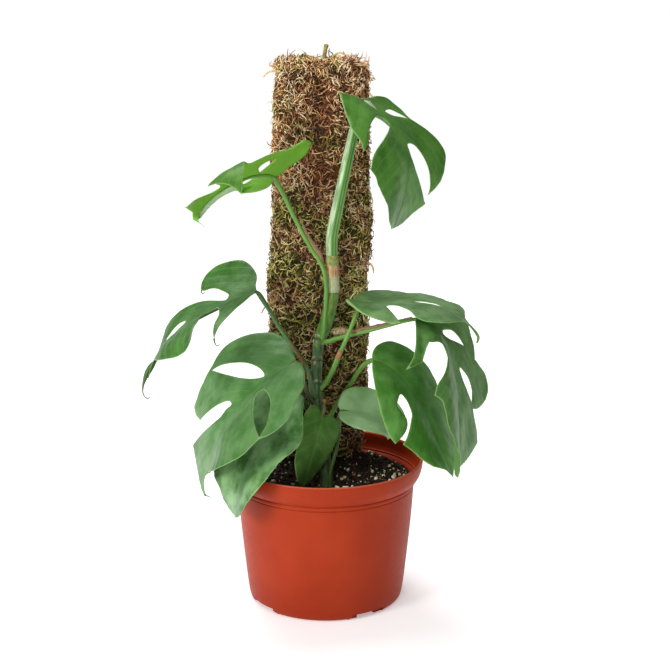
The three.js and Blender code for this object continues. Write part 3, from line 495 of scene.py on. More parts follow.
# ---------------------------------------------------------------- leaves
# A blade is drawn flat, [v, u]: v is the distance across from the midrib, u along it. The
# outline is a list of smooth runs; two runs meet in a corner, and each run starts where the
# one before it ends. rib holds the midrib's Bezier points; face is the way the blade looks at
# its base and its tip, as [azimuth, elevation] with azimuth 0 to the front; fold lifts and
# curl rolls each half, [v < 0, v > 0], curl in degrees per 50 mm.
LEAVES = [{
    "name": "leaf_1", "petioleRadius": 4.3,
    "rib": [[32, 10, 407], [70, -12, 382], [70, -26, 356], [52, -30, 312]],
    "face": [[40, 66], [72, 12]], "fold": [-12, 16], "curl": [-15, 34],
    "outline": [
        [[0, -3], [5, -9], [11, -12], [20, -15]],
        [[38, 5], [51, 29], [54, 52], [56, 65]],
        [[49, 55], [37, 36], [23, 25], [9, 20], [2, 23], [4, 29], [11, 35], [26, 46], [41, 59], [49, 70],
         [53, 80]],
        [[48, 85], [46, 90]],
        [[39, 96], [30, 102], [22, 111], [5, 117]],
        [[-23, 111], [-34, 100], [-46, 88]],
        [[-40, 85], [-23, 73], [-13, 64], [-7, 51], [-8, 47], [-19, 46], [-33, 58], [-42, 74], [-43, 81]],
        [[-49, 75], [-55, 67], [-59, 56], [-61, 48], [-57, 41], [-50, 34], [-39, 25], [-36, 22],
         [-35, 14], [-34, 6], [-33, 0], [-27, -4], [-12, -4], [0, -3]],
    ],
    "holes": [
        [[[-33, 22], [-26, 16], [-20, 12], [-10, 14], [-14, 18], [-24, 20], [-33, 22]]],
    ],
    "petiole": [
        [6, 17, 249], [6, 17, 262], [5.6, 17, 275], [5.2, 16, 287], [5.4, 14.5, 300], [9.5, 12.5, 322],
        [14.3, 11, 345], [18.9, 10, 367], [23, 10, 385], [28, 10, 399],
    ],
}, {
    "name": "leaf_2", "petioleRadius": 1.9,
    "rib": [[-41, 7, 348], [-58, -12, 362], [-115, -16, 323], [-94, -22, 314]],
    "face": [[-134, 47], [-165, 61]], "fold": [26, 15], "tipFold": [19, 19], "curl": [52, 0],
    "tipCurl": [112, 0],
    "outline": [
        [[0, -1], [-5, -4], [-13, -6], [-22, -9], [-30, -9], [-40, -3], [-47, 5]],
        [[-36, 4], [-27, 6], [-23, 12], [-19, 18], [-17, 23], [-24, 27], [-36, 30], [-48, 32], [-60, 38],
         [-68, 43]],
        [[-53, 46], [-42, 50], [-31, 56]],
        [[-22, 53], [-12, 49], [-5, 47], [-5, 53], [-9, 60], [-14, 65], [-25, 71], [-34, 75]],
        [[-20, 74], [-8, 74]],
        [[-4, 78], [-7, 84]],
        [[1, 77], [9, 74], [19, 71], [30, 68], [40, 63], [48, 54], [51, 43], [50, 30], [46, 18], [36, 5],
         [26, -4], [19, -7], [9, -7], [0, -1]],
    ],
    "holes": [
        [[[-3, 14], [-7, 11], [-16, 7], [-14, 11], [-7, 16], [-3, 14]]],
        [[[5, 16], [14, 18], [23, 21], [16, 25], [9, 24], [5, 16]]],
    ],
    "petiole": [
        [-3, 5, 216], [-1.5, 5, 224], [-0.2, 8, 235], [0.5, 10.3, 247], [0.6, 10.8, 258],
        [-0.2, 11.3, 267], [-2.8, 12.2, 276], [-10.8, 13.5, 288.5], [-18.7, 13, 303], [-26.6, 11.5, 319],
        [-34, 10, 335.5],
    ],
}, {
    "name": "leaf_3", "petioleRadius": 1.9,
    "rib": [[-54, -19, 262], [-97, -25, 244], [-142, -41, 230], [-138, -57, 184]],
    "face": [[-81, 46], [-91, 29]], "fold": [21, 12], "tipFold": [0, -12], "curl": [29, -31],
    "tipCurl": [43, 11],
    "outline": [
        [[0, 0], [9, -1], [22, -5], [35, -4], [44, 0], [54, 11], [60, 22], [59, 31], [52, 36]],
        [[46, 35], [40, 29], [29, 24], [15, 21], [10, 25], [15, 29], [28, 36], [41, 45], [54, 57],
         [60, 67], [51, 77], [36, 88], [20, 100], [12, 112], [0, 130]],
        [[-3, 112], [-6, 101], [-16, 101]],
        [[-27, 101], [-48, 95], [-55, 86], [-55, 80], [-51, 72], [-39, 62], [-29, 54], [-10, 49],
         [-3, 43], [-8, 37], [-24, 35], [-42, 38], [-53, 46], [-62, 52], [-70, 56]],
        [[-62, 47], [-58, 41], [-53, 31], [-47, 22], [-41, 13], [-32, 5], [-20, 1], [-8, 0], [0, 0]],
    ],
    "holes": [
        [[[28, 77], [32, 69], [30, 62], [18, 59], [14, 66], [13, 75], [20, 79], [28, 77]]],
    ],
    "petiole": [
        [-6, -11, 164], [-7, -13, 170], [-10, -14, 178], [-14, -17, 196], [-18, -18, 205],
        [-25, -19, 215], [-36, -20, 232], [-47, -20, 251],
    ],
}, {
    "name": "leaf_4", "petioleRadius": 1.9,
    "rib": [[-24, -21, 205], [-65, -32, 187], [-92, -26, 143], [-94, -42, 100]],
    "face": [[-42, 54], [-87, 14]], "fold": [19, 10], "curl": [29, 0],
    "outline": [
        [[0, -1], [10, -3], [20, -4], [30, -2], [39, 2], [48, 11], [55, 19], [63, 31], [68, 42], [68, 55],
         [70, 70], [72, 85]],
        [[65, 88], [52, 89]],
        [[39, 78], [27, 68], [18, 62], [12, 62], [15, 68], [18, 76], [28, 86], [42, 96], [58, 106]],
        [[43, 116], [31, 125], [24, 130], [17, 133], [10, 135], [3, 135]],
        [[9, 133], [14, 130], [16, 126], [14, 121], [6, 118], [-6, 116], [-20, 114], [-34, 112],
         [-45, 108]],
        [[-58, 96], [-66, 80], [-65, 58]],
        [[-68, 49], [-68, 40], [-65, 30], [-58, 21], [-49, 13], [-41, 6], [-33, 2], [-22, -1], [-8, -3],
         [0, -1]],
    ],
    "holes": [
        [[[64, 57], [57, 50], [43, 40], [30, 32], [17, 27], [8, 26], [5, 27], [9, 33], [22, 42], [44, 51],
          [64, 57]]],
        [[[-64, 57], [-58, 46], [-45, 36], [-34, 32], [-20, 32], [-13, 34], [-11, 38], [-20, 43],
          [-31, 47], [-45, 52], [-64, 57]]],
    ],
    "petiole": [
        [-6, -10, 161], [-10, -14, 168], [-15, -17, 179], [-19, -19, 193],
    ],
}, {
    "name": "leaf_5", "petioleRadius": 1.8,
    "rib": [[-20, -22, 179], [-46, -13, 149], [-72, -55, 128], [-72, -55, 87]],
    "face": [[-50, 52], [-76, 25]], "fold": [10, 10], "curl": [30, 5],
    "outline": [
        [[0, 0], [-12, -4], [-26, 1], [-36, 13], [-43, 27], [-48, 43], [-48, 55], [-45, 67], [-44, 77],
         [-42, 85], [-37, 93], [-30, 101], [-23, 109], [-5, 115]],
        [[9, 114], [22, 108], [30, 97], [42, 86], [47, 70], [48, 55], [47, 42], [42, 27], [35, 13],
         [26, 1], [12, -4], [0, 0]],
    ],
    "holes": [],
    "petiole": [
        [-5, -14, 154], [-10, -18, 161], [-15, -21, 169],
    ],
}, {
    "name": "leaf_6", "petioleRadius": 1.6,
    "rib": [[-2, -31, 163], [-6, -42, 147], [-12, -46, 130], [-18, -48, 109]],
    "face": [[30, 20], [50, 0]], "fold": [-5, 14], "curl": [24, 16],
    "outline": [
        [[0, 0], [4, -3], [11, -5], [18, 5], [19, 17], [19, 27], [20, 37], [17, 45], [10, 54], [0, 60]],
        [[-9, 53], [-15, 44], [-19, 33], [-20, 22], [-20, 11], [-16, 1], [-11, -2], [-4, -2], [0, 0]],
    ],
    "holes": [],
    "petiole": [
        [-3, -14, 140], [-2, -24, 158], [-1, -30, 171], [-1, -33, 169],
    ],
}, {
    "name": "leaf_7", "petioleRadius": 1.7,
    "rib": [[12, -10, 161], [35, -9, 160], [52, 9, 153], [64, 9, 132]],
    "face": [[-20, 58], [-20, 45]], "fold": [15, 18], "curl": [29, 29],
    "outline": [
        [[0, 0], [-5, -2], [-11, -1], [-19, 3], [-25, 13], [-27, 24], [-26, 32], [-20, 45], [-11, 56],
         [0, 65]],
        [[12, 55], [21, 43], [26, 27], [26, 16], [21, 6], [13, 0], [5, -2], [0, 0]],
    ],
    "holes": [],
    "petiole": [
        [4, -34, 88], [4, -33, 106], [4, -32, 115], [7, -27, 127], [10, -17, 138], [11, -11, 149],
    ],
}, {
    "name": "leaf_8", "petioleRadius": 1.9,
    "rib": [[38, -21, 207], [74, -31, 198], [82, -21, 148], [102, -45, 116]],
    "face": [[52, 38], [65, 8]], "fold": [0, 15], "curl": [18, 43],
    "outline": [
        [[0, -1], [-7, -3], [-18, -3], [-27, 0], [-34, 5], [-39, 14], [-43, 24], [-46, 32], [-50, 43],
         [-49, 54], [-44, 68]],
        [[-43, 80], [-42, 93]],
        [[-37, 99], [-31, 103], [-15, 108], [3, 119]],
        [[13, 113], [29, 107], [36, 96], [40, 84], [45, 73]],
        [[41, 71], [33, 65], [26, 59], [20, 54], [18, 47], [17, 39], [19, 35], [24, 36], [30, 40],
         [30, 46], [29, 53], [31, 59], [37, 64], [51, 69]],
        [[52, 60], [51, 50], [47, 34], [36, 17], [20, 6], [0, -1]],
    ],
    "holes": [],
    "petiole": [
        [-3, -14, 143], [2, -3, 150], [6.5, 9, 156], [13, 17, 165], [20, 12.5, 177], [26.5, -3, 191.5],
        [32, -15, 201.5],
    ],
}, {
    "name": "leaf_9", "petioleRadius": 1.9,
    "rib": [[24, -9, 252], [56, -10, 246], [101, -30, 263], [120, -33, 227]],
    "face": [[30, 74], [73, 51]], "fold": [-4, 22], "curl": [11, 53],
    "outline": [
        [[0, -2], [5, -7], [15, -4], [25, 4], [33, 16], [40, 29], [44, 39], [44, 47]],
        [[35, 40], [23, 32], [14, 28], [13, 35], [19, 42], [28, 51], [37, 58]],
        [[41, 67], [38, 78], [32, 84], [12, 92], [8, 99], [4, 108]],
        [[0, 101], [-4, 91], [-16, 87], [-28, 84], [-39, 77]],
        [[-34, 69], [-38, 60], [-43, 50], [-43, 42], [-36, 35]],
        [[-39, 21], [-35, 13], [-25, 6], [-12, 0], [0, -2]],
    ],
    "holes": [
        [[[-4, 70], [-8, 63], [-9, 56], [-8, 50], [-7, 45], [-5, 50], [-5, 56], [-5, 63], [-4, 70]]],
    ],
    "petiole": [
        [-7, -7, 175], [-4, -7, 179], [-1, -7, 182], [5, -11, 193], [11, -16, 209], [17, -20, 224],
        [22, -18, 236], [26, -13, 247],
    ],
}, {
    "name": "leaf_10", "petioleRadius": 1.9,
    "rib": [[71, -31, 242], [114, -20, 230], [97, -68, 165], [100, -81, 128]],
    "face": [[70, 30], [80, -4]], "fold": [6, 30], "curl": [0, 55],
    "outline": [
        [[0, 0], [7, -2], [25, -5], [35, -6], [47, -8], [58, -13]],
        [[55, -8], [51, -3], [48, 3], [47, 10], [47, 17], [46, 24], [43, 31], [37, 32], [31, 38],
         [30, 46], [35, 55], [45, 67], [56, 78], [62, 88]],
        [[54, 91], [52, 99], [50, 109], [43, 116], [38, 122], [25, 128], [8, 139]],
        [[-20, 130], [-46, 119], [-60, 108], [-69, 98]],
        [[-60, 89], [-48, 80], [-44, 76]],
        [[-54, 74], [-63, 70], [-73, 63], [-76, 56], [-71, 50], [-59, 45], [-51, 42]],
        [[-55, 37], [-57, 31], [-59, 26], [-55, 21], [-46, 18], [-36, 16], [-26, 13], [-16, 9], [-8, 4],
         [0, 0]],
    ],
    "holes": [
        [[[-40, 72], [-39, 63], [-33, 56], [-24, 52], [-16, 50], [-19, 57], [-29, 65], [-40, 72]]],
        [[[-35, 35], [-31, 30], [-25, 26], [-17, 24], [-8, 23], [-6, 25], [-11, 29], [-22, 32], [-35, 35]]],
    ],
    "petiole": [
        [-8, 4, 211], [-3, 6, 214], [3, 0, 216], [8, -4, 219], [17, -10, 223], [32, -19, 229],
        [51, -27, 236], [62, -31, 240],
    ],
}]


BLADE_THICKNESS = 0.6
RIB_POINTS = 401
CURL_SPAN = 50  # a blade's curl is given in degrees for this many millimetres across
CREASE_RADIUS = 2.5  # how softly a blade folds at its midrib
GROOVE_DEPTH = 0.2
PUCKER_STEP = 11.5


class BladeSurface:
    """The curved surface of a blade: v is the distance across from the midrib, u along it."""

    def __init__(self, leaf):
        a, b, c, d = (np.array(p, float) for p in leaf["rib"])
        t = np.linspace(0, 1, RIB_POINTS)[:, None]
        self.line = (1 - t) ** 3 * a + 3 * (1 - t) ** 2 * t * b + 3 * (1 - t) * t**2 * c + t**3 * d
        self.length = lengths_along(self.line)[-1]
        self.tangents = unit(3 * (1 - t) ** 2 * (b - a) + 6 * (1 - t) * t * (c - b) + 3 * t**2 * (d - c))
        self.face = []
        for azimuth, elevation in np.radians(leaf["face"]):
            level = math.cos(elevation)
            self.face.append([math.sin(azimuth) * level, -math.cos(azimuth) * level, math.sin(elevation)])
        self.face = np.array(self.face)
        self.fold = np.radians([leaf["fold"], leaf.get("tipFold", leaf["fold"])])
        self.curl = np.radians([leaf["curl"], leaf.get("tipCurl", leaf["curl"])]) / CURL_SPAN

    def points(self, flat):
        v, u = flat[:, 0], flat[:, 1]
        along = np.clip(u, 0, self.length)
        share = along / self.length
        place = at_lengths(self.line, along)
        marks = lengths_along(self.line)
        tangent = unit(np.stack([np.interp(along, marks, self.tangents[:, k]) for k in range(3)], 1))
        face = self.face[0] + (self.face[1] - self.face[0]) * share[:, None]
        up = unit(face - tangent * (face * tangent).sum(1)[:, None])
        side = np.cross(tangent, up)
        half = (v >= 0).astype(int)
        slope = self.fold[0][half] * (1 - share) + self.fold[1][half] * share
        bend = self.curl[0][half] * (1 - share) + self.curl[1][half] * share
        bend = np.where(np.abs(bend) < 1e-6, 1e-6, bend)
        turned = slope - bend * np.abs(v)
        lateral = (np.sin(slope) - np.sin(turned)) / bend
        height = (np.cos(turned) - np.cos(slope)) / bend
        height *= (np.hypot(v, CREASE_RADIUS) - CREASE_RADIUS) / np.maximum(np.abs(v), 0.01)
        return (
            place + tangent * (u - along)[:, None]
            + side * (np.sign(v) * lateral)[:, None] + up * height[:, None]
        )

    def normals(self, flat):
        reach = np.array([0.5, 0.0])
        along = self.points(flat + reach[::-1]) - self.points(flat - reach[::-1])
        across = self.points(flat + reach) - self.points(flat - reach)
        return unit(np.cross(across, along))


def closed_margin(runs, step):
    """Points round a closed line of smooth runs, each run starting where the last one ended."""
    margin = []
    corner = runs[-1][-1]
    for i, run in enumerate(runs):
        points = [corner, *run] if i else run
        margin.append(curve(points, step)[:-1])
        corner = run[-1]
    return np.vstack(margin)


def inside(points, margin):
    held = np.zeros(len(points), bool)
    for (ax, ay), (bx, by) in zip(margin, np.roll(margin, -1, axis=0)):
        crosses = (ay > points[:, 1]) != (by > points[:, 1])
        if ay != by:
            held ^= crosses & (points[:, 0] < (bx - ax) * (points[:, 1] - ay) / (by - ay) + ax)
    return held


def nearest(points, targets):
    gaps = [
        np.linalg.norm(points[i:i + 500, None] - targets[None], axis=2).min(1)
        for i in range(0, len(points), 500)
    ]
    return np.concatenate(gaps)


MARGIN_STEP = 1.5
GRID_STEP = 2.0
# Where along its midrib a blade gives way to its drip tip.
BLADE_ENDS = {"leaf_3": 114}
RIB_BAND = 2.1  # inside this distance of the midrib, the points lie in lines along it
RIB_LINES = (-1.5, -0.7, 0, 0.7, 1.5)


def flat_blade(leaf, length):
    """The blade's flat points, its triangles, and each point's distance from the margin."""
    margins = [closed_margin(runs, MARGIN_STEP) for runs in (shown_outline(leaf), *leaf["holes"])]
    edge = np.vstack(margins)
    low, high = edge.min(0), edge.max(0)
    row_step = GRID_STEP * math.sin(math.pi / 3)
    rows = np.arange(low[1], high[1], row_step)
    columns = np.arange(low[0], high[0], GRID_STEP)
    grid = np.array([
        [v + (0.5 * GRID_STEP if i % 2 else 0), u] for i, u in enumerate(rows) for v in columns
    ])
    grid = grid[np.abs(grid[:, 0]) > RIB_BAND]
    band = [[v, u] for u in np.arange(0.8, length, 0.8 * GRID_STEP) for v in RIB_LINES]
    inner = np.vstack([grid, band])
    inner = inner[inside(inner, margins[0])]
    for hole in margins[1:]:
        inner = inner[~inside(inner, hole)]
    inner = inner[nearest(inner, edge) > 0.5 * MARGIN_STEP]
    rings, start = [], 0
    for margin in margins:
        around = np.arange(start, start + len(margin))
        rings += list(zip(around.tolist(), np.roll(around, -1).tolist()))
        start += len(margin)
    seeds = [Vector(p) for p in np.vstack([edge, inner]).tolist()]
    found, _, faces, *_ = geometry.delaunay_2d_cdt(seeds, rings, [], 0, 1e-4)
    flat = np.array([p[:] for p in found])
    triangles = np.array(faces)
    middles = flat[triangles].mean(1)
    kept = inside(middles, margins[0])
    for hole in margins[1:]:
        kept &= ~inside(middles, hole)
    triangles = triangles[kept]
    used, triangles = np.unique(triangles, return_inverse=True)
    flat = flat[used]
    return flat, triangles.reshape(-1, 3), nearest(flat, edge)


def blade_relief(flat, leaf, to_margin):
    """How far the blade's surface rises: soft waves, puckers between side veins, midrib groove."""
    v, u = flat[:, 0], flat[:, 1]
    across = np.abs(v)
    seed = 3.7 * LEAVES.index(leaf)
    level = np.column_stack([v, u, np.zeros(len(v))])
    waves = 1.7 * perlin(level, 24, seed) * smoothstep(across, 1, 16) * smoothstep(to_margin, -2, 12)
    run = u - VEIN_SLANT * across - VEIN_BEND * across**2 + 2.5 * perlin(level, 16, seed + 4)
    ridge = 0.11 + 0.1 * perlin(level, 30, seed + 6)
    puckers = ridge * np.cos(2 * math.pi * run / PUCKER_STEP) * smoothstep(across, 2, 10)
    fine = 0.09 * perlin(level, 4.5, seed + 9)
    groove = GROOVE_DEPTH * np.exp(-(v**2))
    return waves + puckers + fine, groove


def shown_outline(leaf):
    """The runs of a blade's outline, cut off where its drip tip takes over."""
    end = BLADE_ENDS.get(leaf["name"], math.inf)
    return [[[v, min(u, end)] for v, u in run] for run in leaf["outline"]]


def add_blade(shape, leaf, surface):
    flat, triangles, to_margin = flat_blade(leaf, surface.length)
    places, normals = surface.points(flat), surface.normals(flat)
    rise, groove = blade_relief(flat, leaf, to_margin)
    half = 0.5 * BLADE_THICKNESS * (0.45 + 0.55 * smoothstep(to_margin, 0, 1.5))
    face = places + normals * (rise + half - groove)[:, None]
    back = places + normals * (rise - half - 0.5 * groove)[:, None]
    count = len(flat)
    edges = np.vstack([triangles[:, [0, 1]], triangles[:, [1, 2]], triangles[:, [2, 0]]])
    keys = {tuple(edge) for edge in edges.tolist()}
    rim = np.array([edge for edge in edges.tolist() if (edge[1], edge[0]) not in keys])
    wall = np.column_stack([rim[:, 1], rim[:, 0], rim[:, 0] + count, rim[:, 1] + count])
    chart = np.vstack([
        np.column_stack([flat, np.ones(count)]),
        np.column_stack([flat, -np.ones(count)]),
    ])
    turned = triangles[:, ::-1] + count
    shape.add(np.vstack([face, back]), [triangles, turned, wall], 0, chart, np.tile(to_margin, 2))


# How thick each petiole is along its length, as [share of the length, radius].
GIRTHS = {
    "leaf_1": [[0, 4.2], [0.2, 4.4], [0.27, 4.8], [0.45, 4.8], [0.75, 4.3], [1, 3.7]],
    "leaf_9": [[0, 3.0], [0.08, 2.4], [0.2, 2.0], [0.47, 2.0], [0.53, 1.65], [0.9, 1.7], [1, 2.0]],
    "leaf_10": [[0, 2.7], [0.1, 2.2], [0.5, 1.8], [1, 1.5]],
}
PLAIN_GIRTH = np.array([[0, 1.25], [0.12, 1.03], [0.5, 0.93], [0.88, 0.95], [0.97, 1.12], [1, 1.0]])

# Thread-like ends of lobes: lines that carry on from a blade's corner, and their radii.
DRIP_TIPS = {
    "leaf_3": [
        (
            [[-100, 23, 256.6], [-101.1, 23, 253.7], [-101.3, 23, 251.7], [-100.1, 23, 250.7],
             [-98.5, 23, 251.9]],
            [1.6, 0.9, 0.5, 0.4, 0.3],
        ),
        (
            [[-82, -94.5, 241], [-81.5, -94.5, 238], [-80, -94.5, 235.5], [-77.5, -94.5, 236.5]],
            [0.8, 0.55, 0.4, 0.3],
        ),
        (
            [[-131, -45, 212], [-133.8, -45.5, 209], [-136.6, -47, 205], [-138.6, -49, 201.5],
             [-139.9, -51.5, 198], [-140.9, -53.5, 194.3], [-141.2, -55, 190.7], [-140.7, -56.5, 188],
             [-139.3, -57, 185.6], [-137, -57, 184.4], [-135, -57, 185.8]],
            [0.8, 1.9, 2.5, 2.4, 1.9, 1.4, 0.9, 0.6, 0.45, 0.45, 0.35],
        ),
    ],
    "leaf_4": [
        (
            [[-97.5, -32, 97], [-96, -36, 97.8], [-93.5, -39, 98.2], [-91.5, -40, 97.4]],
            [0.6, 0.55, 0.45, 0.3],
        ),
    ],
    "leaf_9": [
        (
            [[109.2, -29, 239.1], [113, -31, 236.8], [116.3, -34, 233.5], [119, -36.5, 229.7],
             [119.6, -37, 227.4], [118.6, -37, 223.8]],
            [0.5, 0.7, 0.8, 1.1, 1.2, 0.7],
        ),
    ],
}

# Margins that roll over: where they run on the flat blade, and the radius of the roll.
ROLLED_MARGINS = {
    "leaf_9": (
        [[0, -2], [5, -6.5], [15, -3.5], [25, 4.5], [33, 16], [39, 27]],
        [0.7, 1.4, 1.1, 0.8, 0.6, 0.3],
    ),
    "leaf_7": (
        [[-4, -1.5], [-10, -0.5], [-18, 3.5], [-24, 13], [-26, 24], [-25, 32], [-19, 45]],
        [0.3, 0.6, 0.7, 0.7, 0.6, 0.5, 0.3],
    ),
}


def add_trim(shape, leaf, surface):
    """Drip tips and rolled margins."""
    for path, radii in DRIP_TIPS.get(leaf["name"], []):
        line = curve(path, 0.7)
        shape.add(*tube(line, girth_along(line, radii), 8)[:2], 1)
    if leaf["name"] in ROLLED_MARGINS:
        path, radii = ROLLED_MARGINS[leaf["name"]]
        flat = curve(path, 1.0)
        points, faces, chart = tube(surface.points(flat), girth_along(flat, radii), 8)
        chart[:, :2], chart[:, 2] = flat[0], 1.0
        shape.add(points, faces, 0, chart, 0.0)


def add_stalk(shape, leaf, surface):
    """The petiole, and on from it the midrib that stands out of the blade's back."""
    radius = leaf["petioleRadius"]
    reach = np.concatenate([[1, 6, 12], np.arange(20, 0.93 * surface.length, 10)])
    margin = closed_margin(shown_outline(leaf), MARGIN_STEP)
    held = inside(np.column_stack([np.zeros(len(reach)), reach + 6]), margin)
    reach = reach[held | (reach < 20)]
    on_rib = np.column_stack([np.zeros(len(reach)), reach])
    left = 1 - reach / surface.length
    rib_radius = np.maximum(radius * np.minimum(0.80, 0.55 + 0.2 * left) * left**0.7, 0.35)
    rib_radius = np.minimum(rib_radius, np.interp(reach, [0, 12, 25], [radius, 0.7 * radius, 1.3]))
    depth = rib_radius * np.interp(reach, [1, 12], [0.45, 0.95]) + 0.1
    foot = surface.points(on_rib) - surface.normals(on_rib) * depth[:, None]
    line = curve(np.vstack([leaf["petiole"], foot]), 1.6)
    along = lengths_along(line)
    joint = along[np.linalg.norm(line - foot[0], axis=1).argmin()]
    girth = np.array(GIRTHS.get(leaf["name"], PLAIN_GIRTH * [1, radius]))
    marks = np.concatenate([girth[:, 0] * (joint - 2), joint + reach - 1])
    radii = np.interp(along, marks, np.concatenate([girth[:, 1], rib_radius]))
    thick = radius > 3
    sides = 24 if thick else 12
    relief = 0.03 * perlin(line, 5, 2.0)[:, None]
    if thick:
        flutes = sum(np.exp(-(((angles(sides) - middle) / 0.16) ** 2)) for middle in GROOVES)
        relief = relief - 0.10 * flutes * (along < joint - 6)[:, None]
    points, faces, chart = tube(line, radii, sides, relief)
    shape.add(points, faces, 1, chart)


def make_leaf(leaf, skin, stalk):
    surface = BladeSurface(leaf)
    shape = Shape()
    add_blade(shape, leaf, surface)
    add_stalk(shape, leaf, surface)
    add_trim(shape, leaf, surface)
    name = leaf["name"]
    show(f"{name}_blade", shape.mesh(name), [skin, stalk], [name])


# ---------------------------------------------------------------- pot
def lathe(profile, segments):
    """A solid of revolution about Z from [radius, z] points that start and end on the axis."""
    profile = np.asarray(profile, float)
    angle = angles(segments)
    rings = profile[1:-1]
    heights = np.repeat(rings[:, 1:], segments, axis=1)
    points = np.stack([*round_axis(rings[:, :1], angle), heights], -1).reshape(-1, 3)
    points = np.vstack([points, [[0, 0, profile[0, 1]], [0, 0, profile[-1, 1]]]])
    return Shape().add(points, ring_faces(len(rings), segments))


def rounded(profile, times=2):
    """Cuts the corners of an open line, so that a turned edge is round."""
    line = np.asarray(profile, float)
    for _ in range(times):
        a, b = line[:-1], line[1:]
        cut = np.stack([a + (b - a) * 0.25, b + (a - b) * 0.25], 1).reshape(-1, 2)
        line = np.vstack([line[:1], cut[1:-1], line[-1:]])
    return line


DRAIN_AZIMUTHS = [DRAIN_FIRST_AZIMUTH + i * 360 / DRAIN_COUNT for i in range(DRAIN_COUNT)]
SLIT_BOTTOM = 3
SLIT_TOP = 9
SHARP_ANGLE = 38


def prism(outline, inner, outer, azimuth):
    """A bar with the outline of [across, z] points, reaching out from the axis."""
    outline = np.asarray(outline, float)
    count = len(outline)
    points = np.vstack([
        np.column_stack([outline[:, 0], np.full(count, -distance), outline[:, 1]])
        for distance in (inner, outer)
    ])
    turn = math.radians(azimuth)
    spin = np.array([[math.cos(turn), math.sin(turn), 0], [-math.sin(turn), math.cos(turn), 0], [0, 0, 1]])
    i = np.arange(count)
    ahead = (i + 1) % count
    sides = np.stack([i, ahead, ahead + count, i + count], 1)
    caps = [i[None, ::-1], i[None] + count]
    return points @ spin, [sides, *caps]


def drain_shape(notch, skin=0.0):
    """One notch at each drain. Its skin is how much larger it is all round than its opening."""
    half_width, inner_radius = notch
    height = DRAIN_HEIGHT + skin
    low, high = half_width + skin, half_width + skin - 0.2 * height
    outline = [[-low, -1], [low, -1], [high, height], [-high, height]]
    shape = Shape()
    for azimuth in DRAIN_AZIMUTHS:
        shape.add(*prism(outline, inner_radius - skin, RIM_RADIUS - 5 * skin, azimuth))
    return shape


def slit_shape():
    width, length, offset, radius = DRAIN_SLIT
    shape = Shape()
    for azimuth in DRAIN_AZIMUTHS:
        for middle in (-offset, offset):
            low, high = middle - width / 2, middle + width / 2
            outline = [[low, SLIT_BOTTOM], [high, SLIT_BOTTOM], [high, SLIT_TOP], [low, SLIT_TOP]]
            shape.add(*prism(outline, radius - length / 2, radius + length / 2, azimuth))
    return shape


def carved(mesh, steps):
    """The mesh after each (operation, other mesh), as a new mesh."""
    body = placed("carving", mesh)
    tools = []
    for operation, other in steps:
        tool = placed("tool", other)
        tools.append(tool)
        cut = body.modifiers.new(operation, "BOOLEAN")
        cut.operation, cut.object, cut.solver = operation, tool, "EXACT"
    bpy.context.view_layer.update()
    seen = body.evaluated_get(bpy.context.evaluated_depsgraph_get())
    made = bpy.data.meshes.new_from_object(seen)
    for thing in (body, *tools):
        bpy.data.objects.remove(thing)
    return made


def pot_mesh():
    collar = POT_HEIGHT - 17
    body = BODY_TOP_RADIUS
    foot = [[FOOT_RADIUS, 0], [61.5, 1.2], [63.5, 4], [65.6, 20], [70.8, 71], [body - 0.4, collar - 8]]
    bead = [
        [body - 0.3, collar - 5.6], [body - 0.8, collar - 5.2], [body - 0.8, collar - 4.8],
        [body + 0.3, collar - 4.5], [body + 0.4, collar - 1.9], [body - 0.1, collar - 1.6],
        [body, collar - 1.2], [body + 1.2, collar - 0.4],
    ]
    rim = [
        [75.3, collar + 0.6], [78, collar + 5], [79.5, POT_HEIGHT - 6],
        [RIM_RADIUS, POT_HEIGHT - 1.2], [RIM_RADIUS - 0.6, POT_HEIGHT], [RIM_RADIUS - 2, POT_HEIGHT],
        [RIM_RADIUS - 3, POT_HEIGHT - 2], [76.6, POT_HEIGHT - 10],
    ]
    lining = [
        [75.6, collar + 4.6], [75.2, collar + 3.6], [74.2, collar + 3.4], [74.5, collar + 2.2],
        [73.2, collar + 1.2], [71.4, collar - 1], [body - POT_WALL, collar - 7], [63.6, 20], [61, 4.5],
        [FOOT_RADIUS - 1, FLOOR_THICKNESS],
    ]
    wall = np.vstack([rounded(foot), rounded(bead, times=1), rounded([*rim, *lining])])
    shell = lathe([[0, 0], [30, 0], *wall, [30, FLOOR_THICKNESS], [0, FLOOR_THICKNESS]], 160)
    cavity = lathe([[0, 0.5], [60.5, 0.5], [63.2, 20], [66, 50], [0, 50]], 48).mesh("cavity")
    steps = []
    for notch in (DRAIN_GATE, DRAIN_POCKET):
        wider = drain_shape(notch, POT_WALL).mesh("drain_wall")
        steps.append(("UNION", carved(wider, [("INTERSECT", cavity)])))
    pocket = drain_shape(DRAIN_POCKET).mesh("drain_pocket")
    steps.append(("DIFFERENCE", carved(drain_shape(DRAIN_GATE).mesh("drain"), [("UNION", pocket)])))
    steps.append(("DIFFERENCE", slit_shape().mesh("slits")))
    mesh = carved(shell.mesh("pot"), steps)
    sharpen(mesh, SHARP_ANGLE)
    return mesh


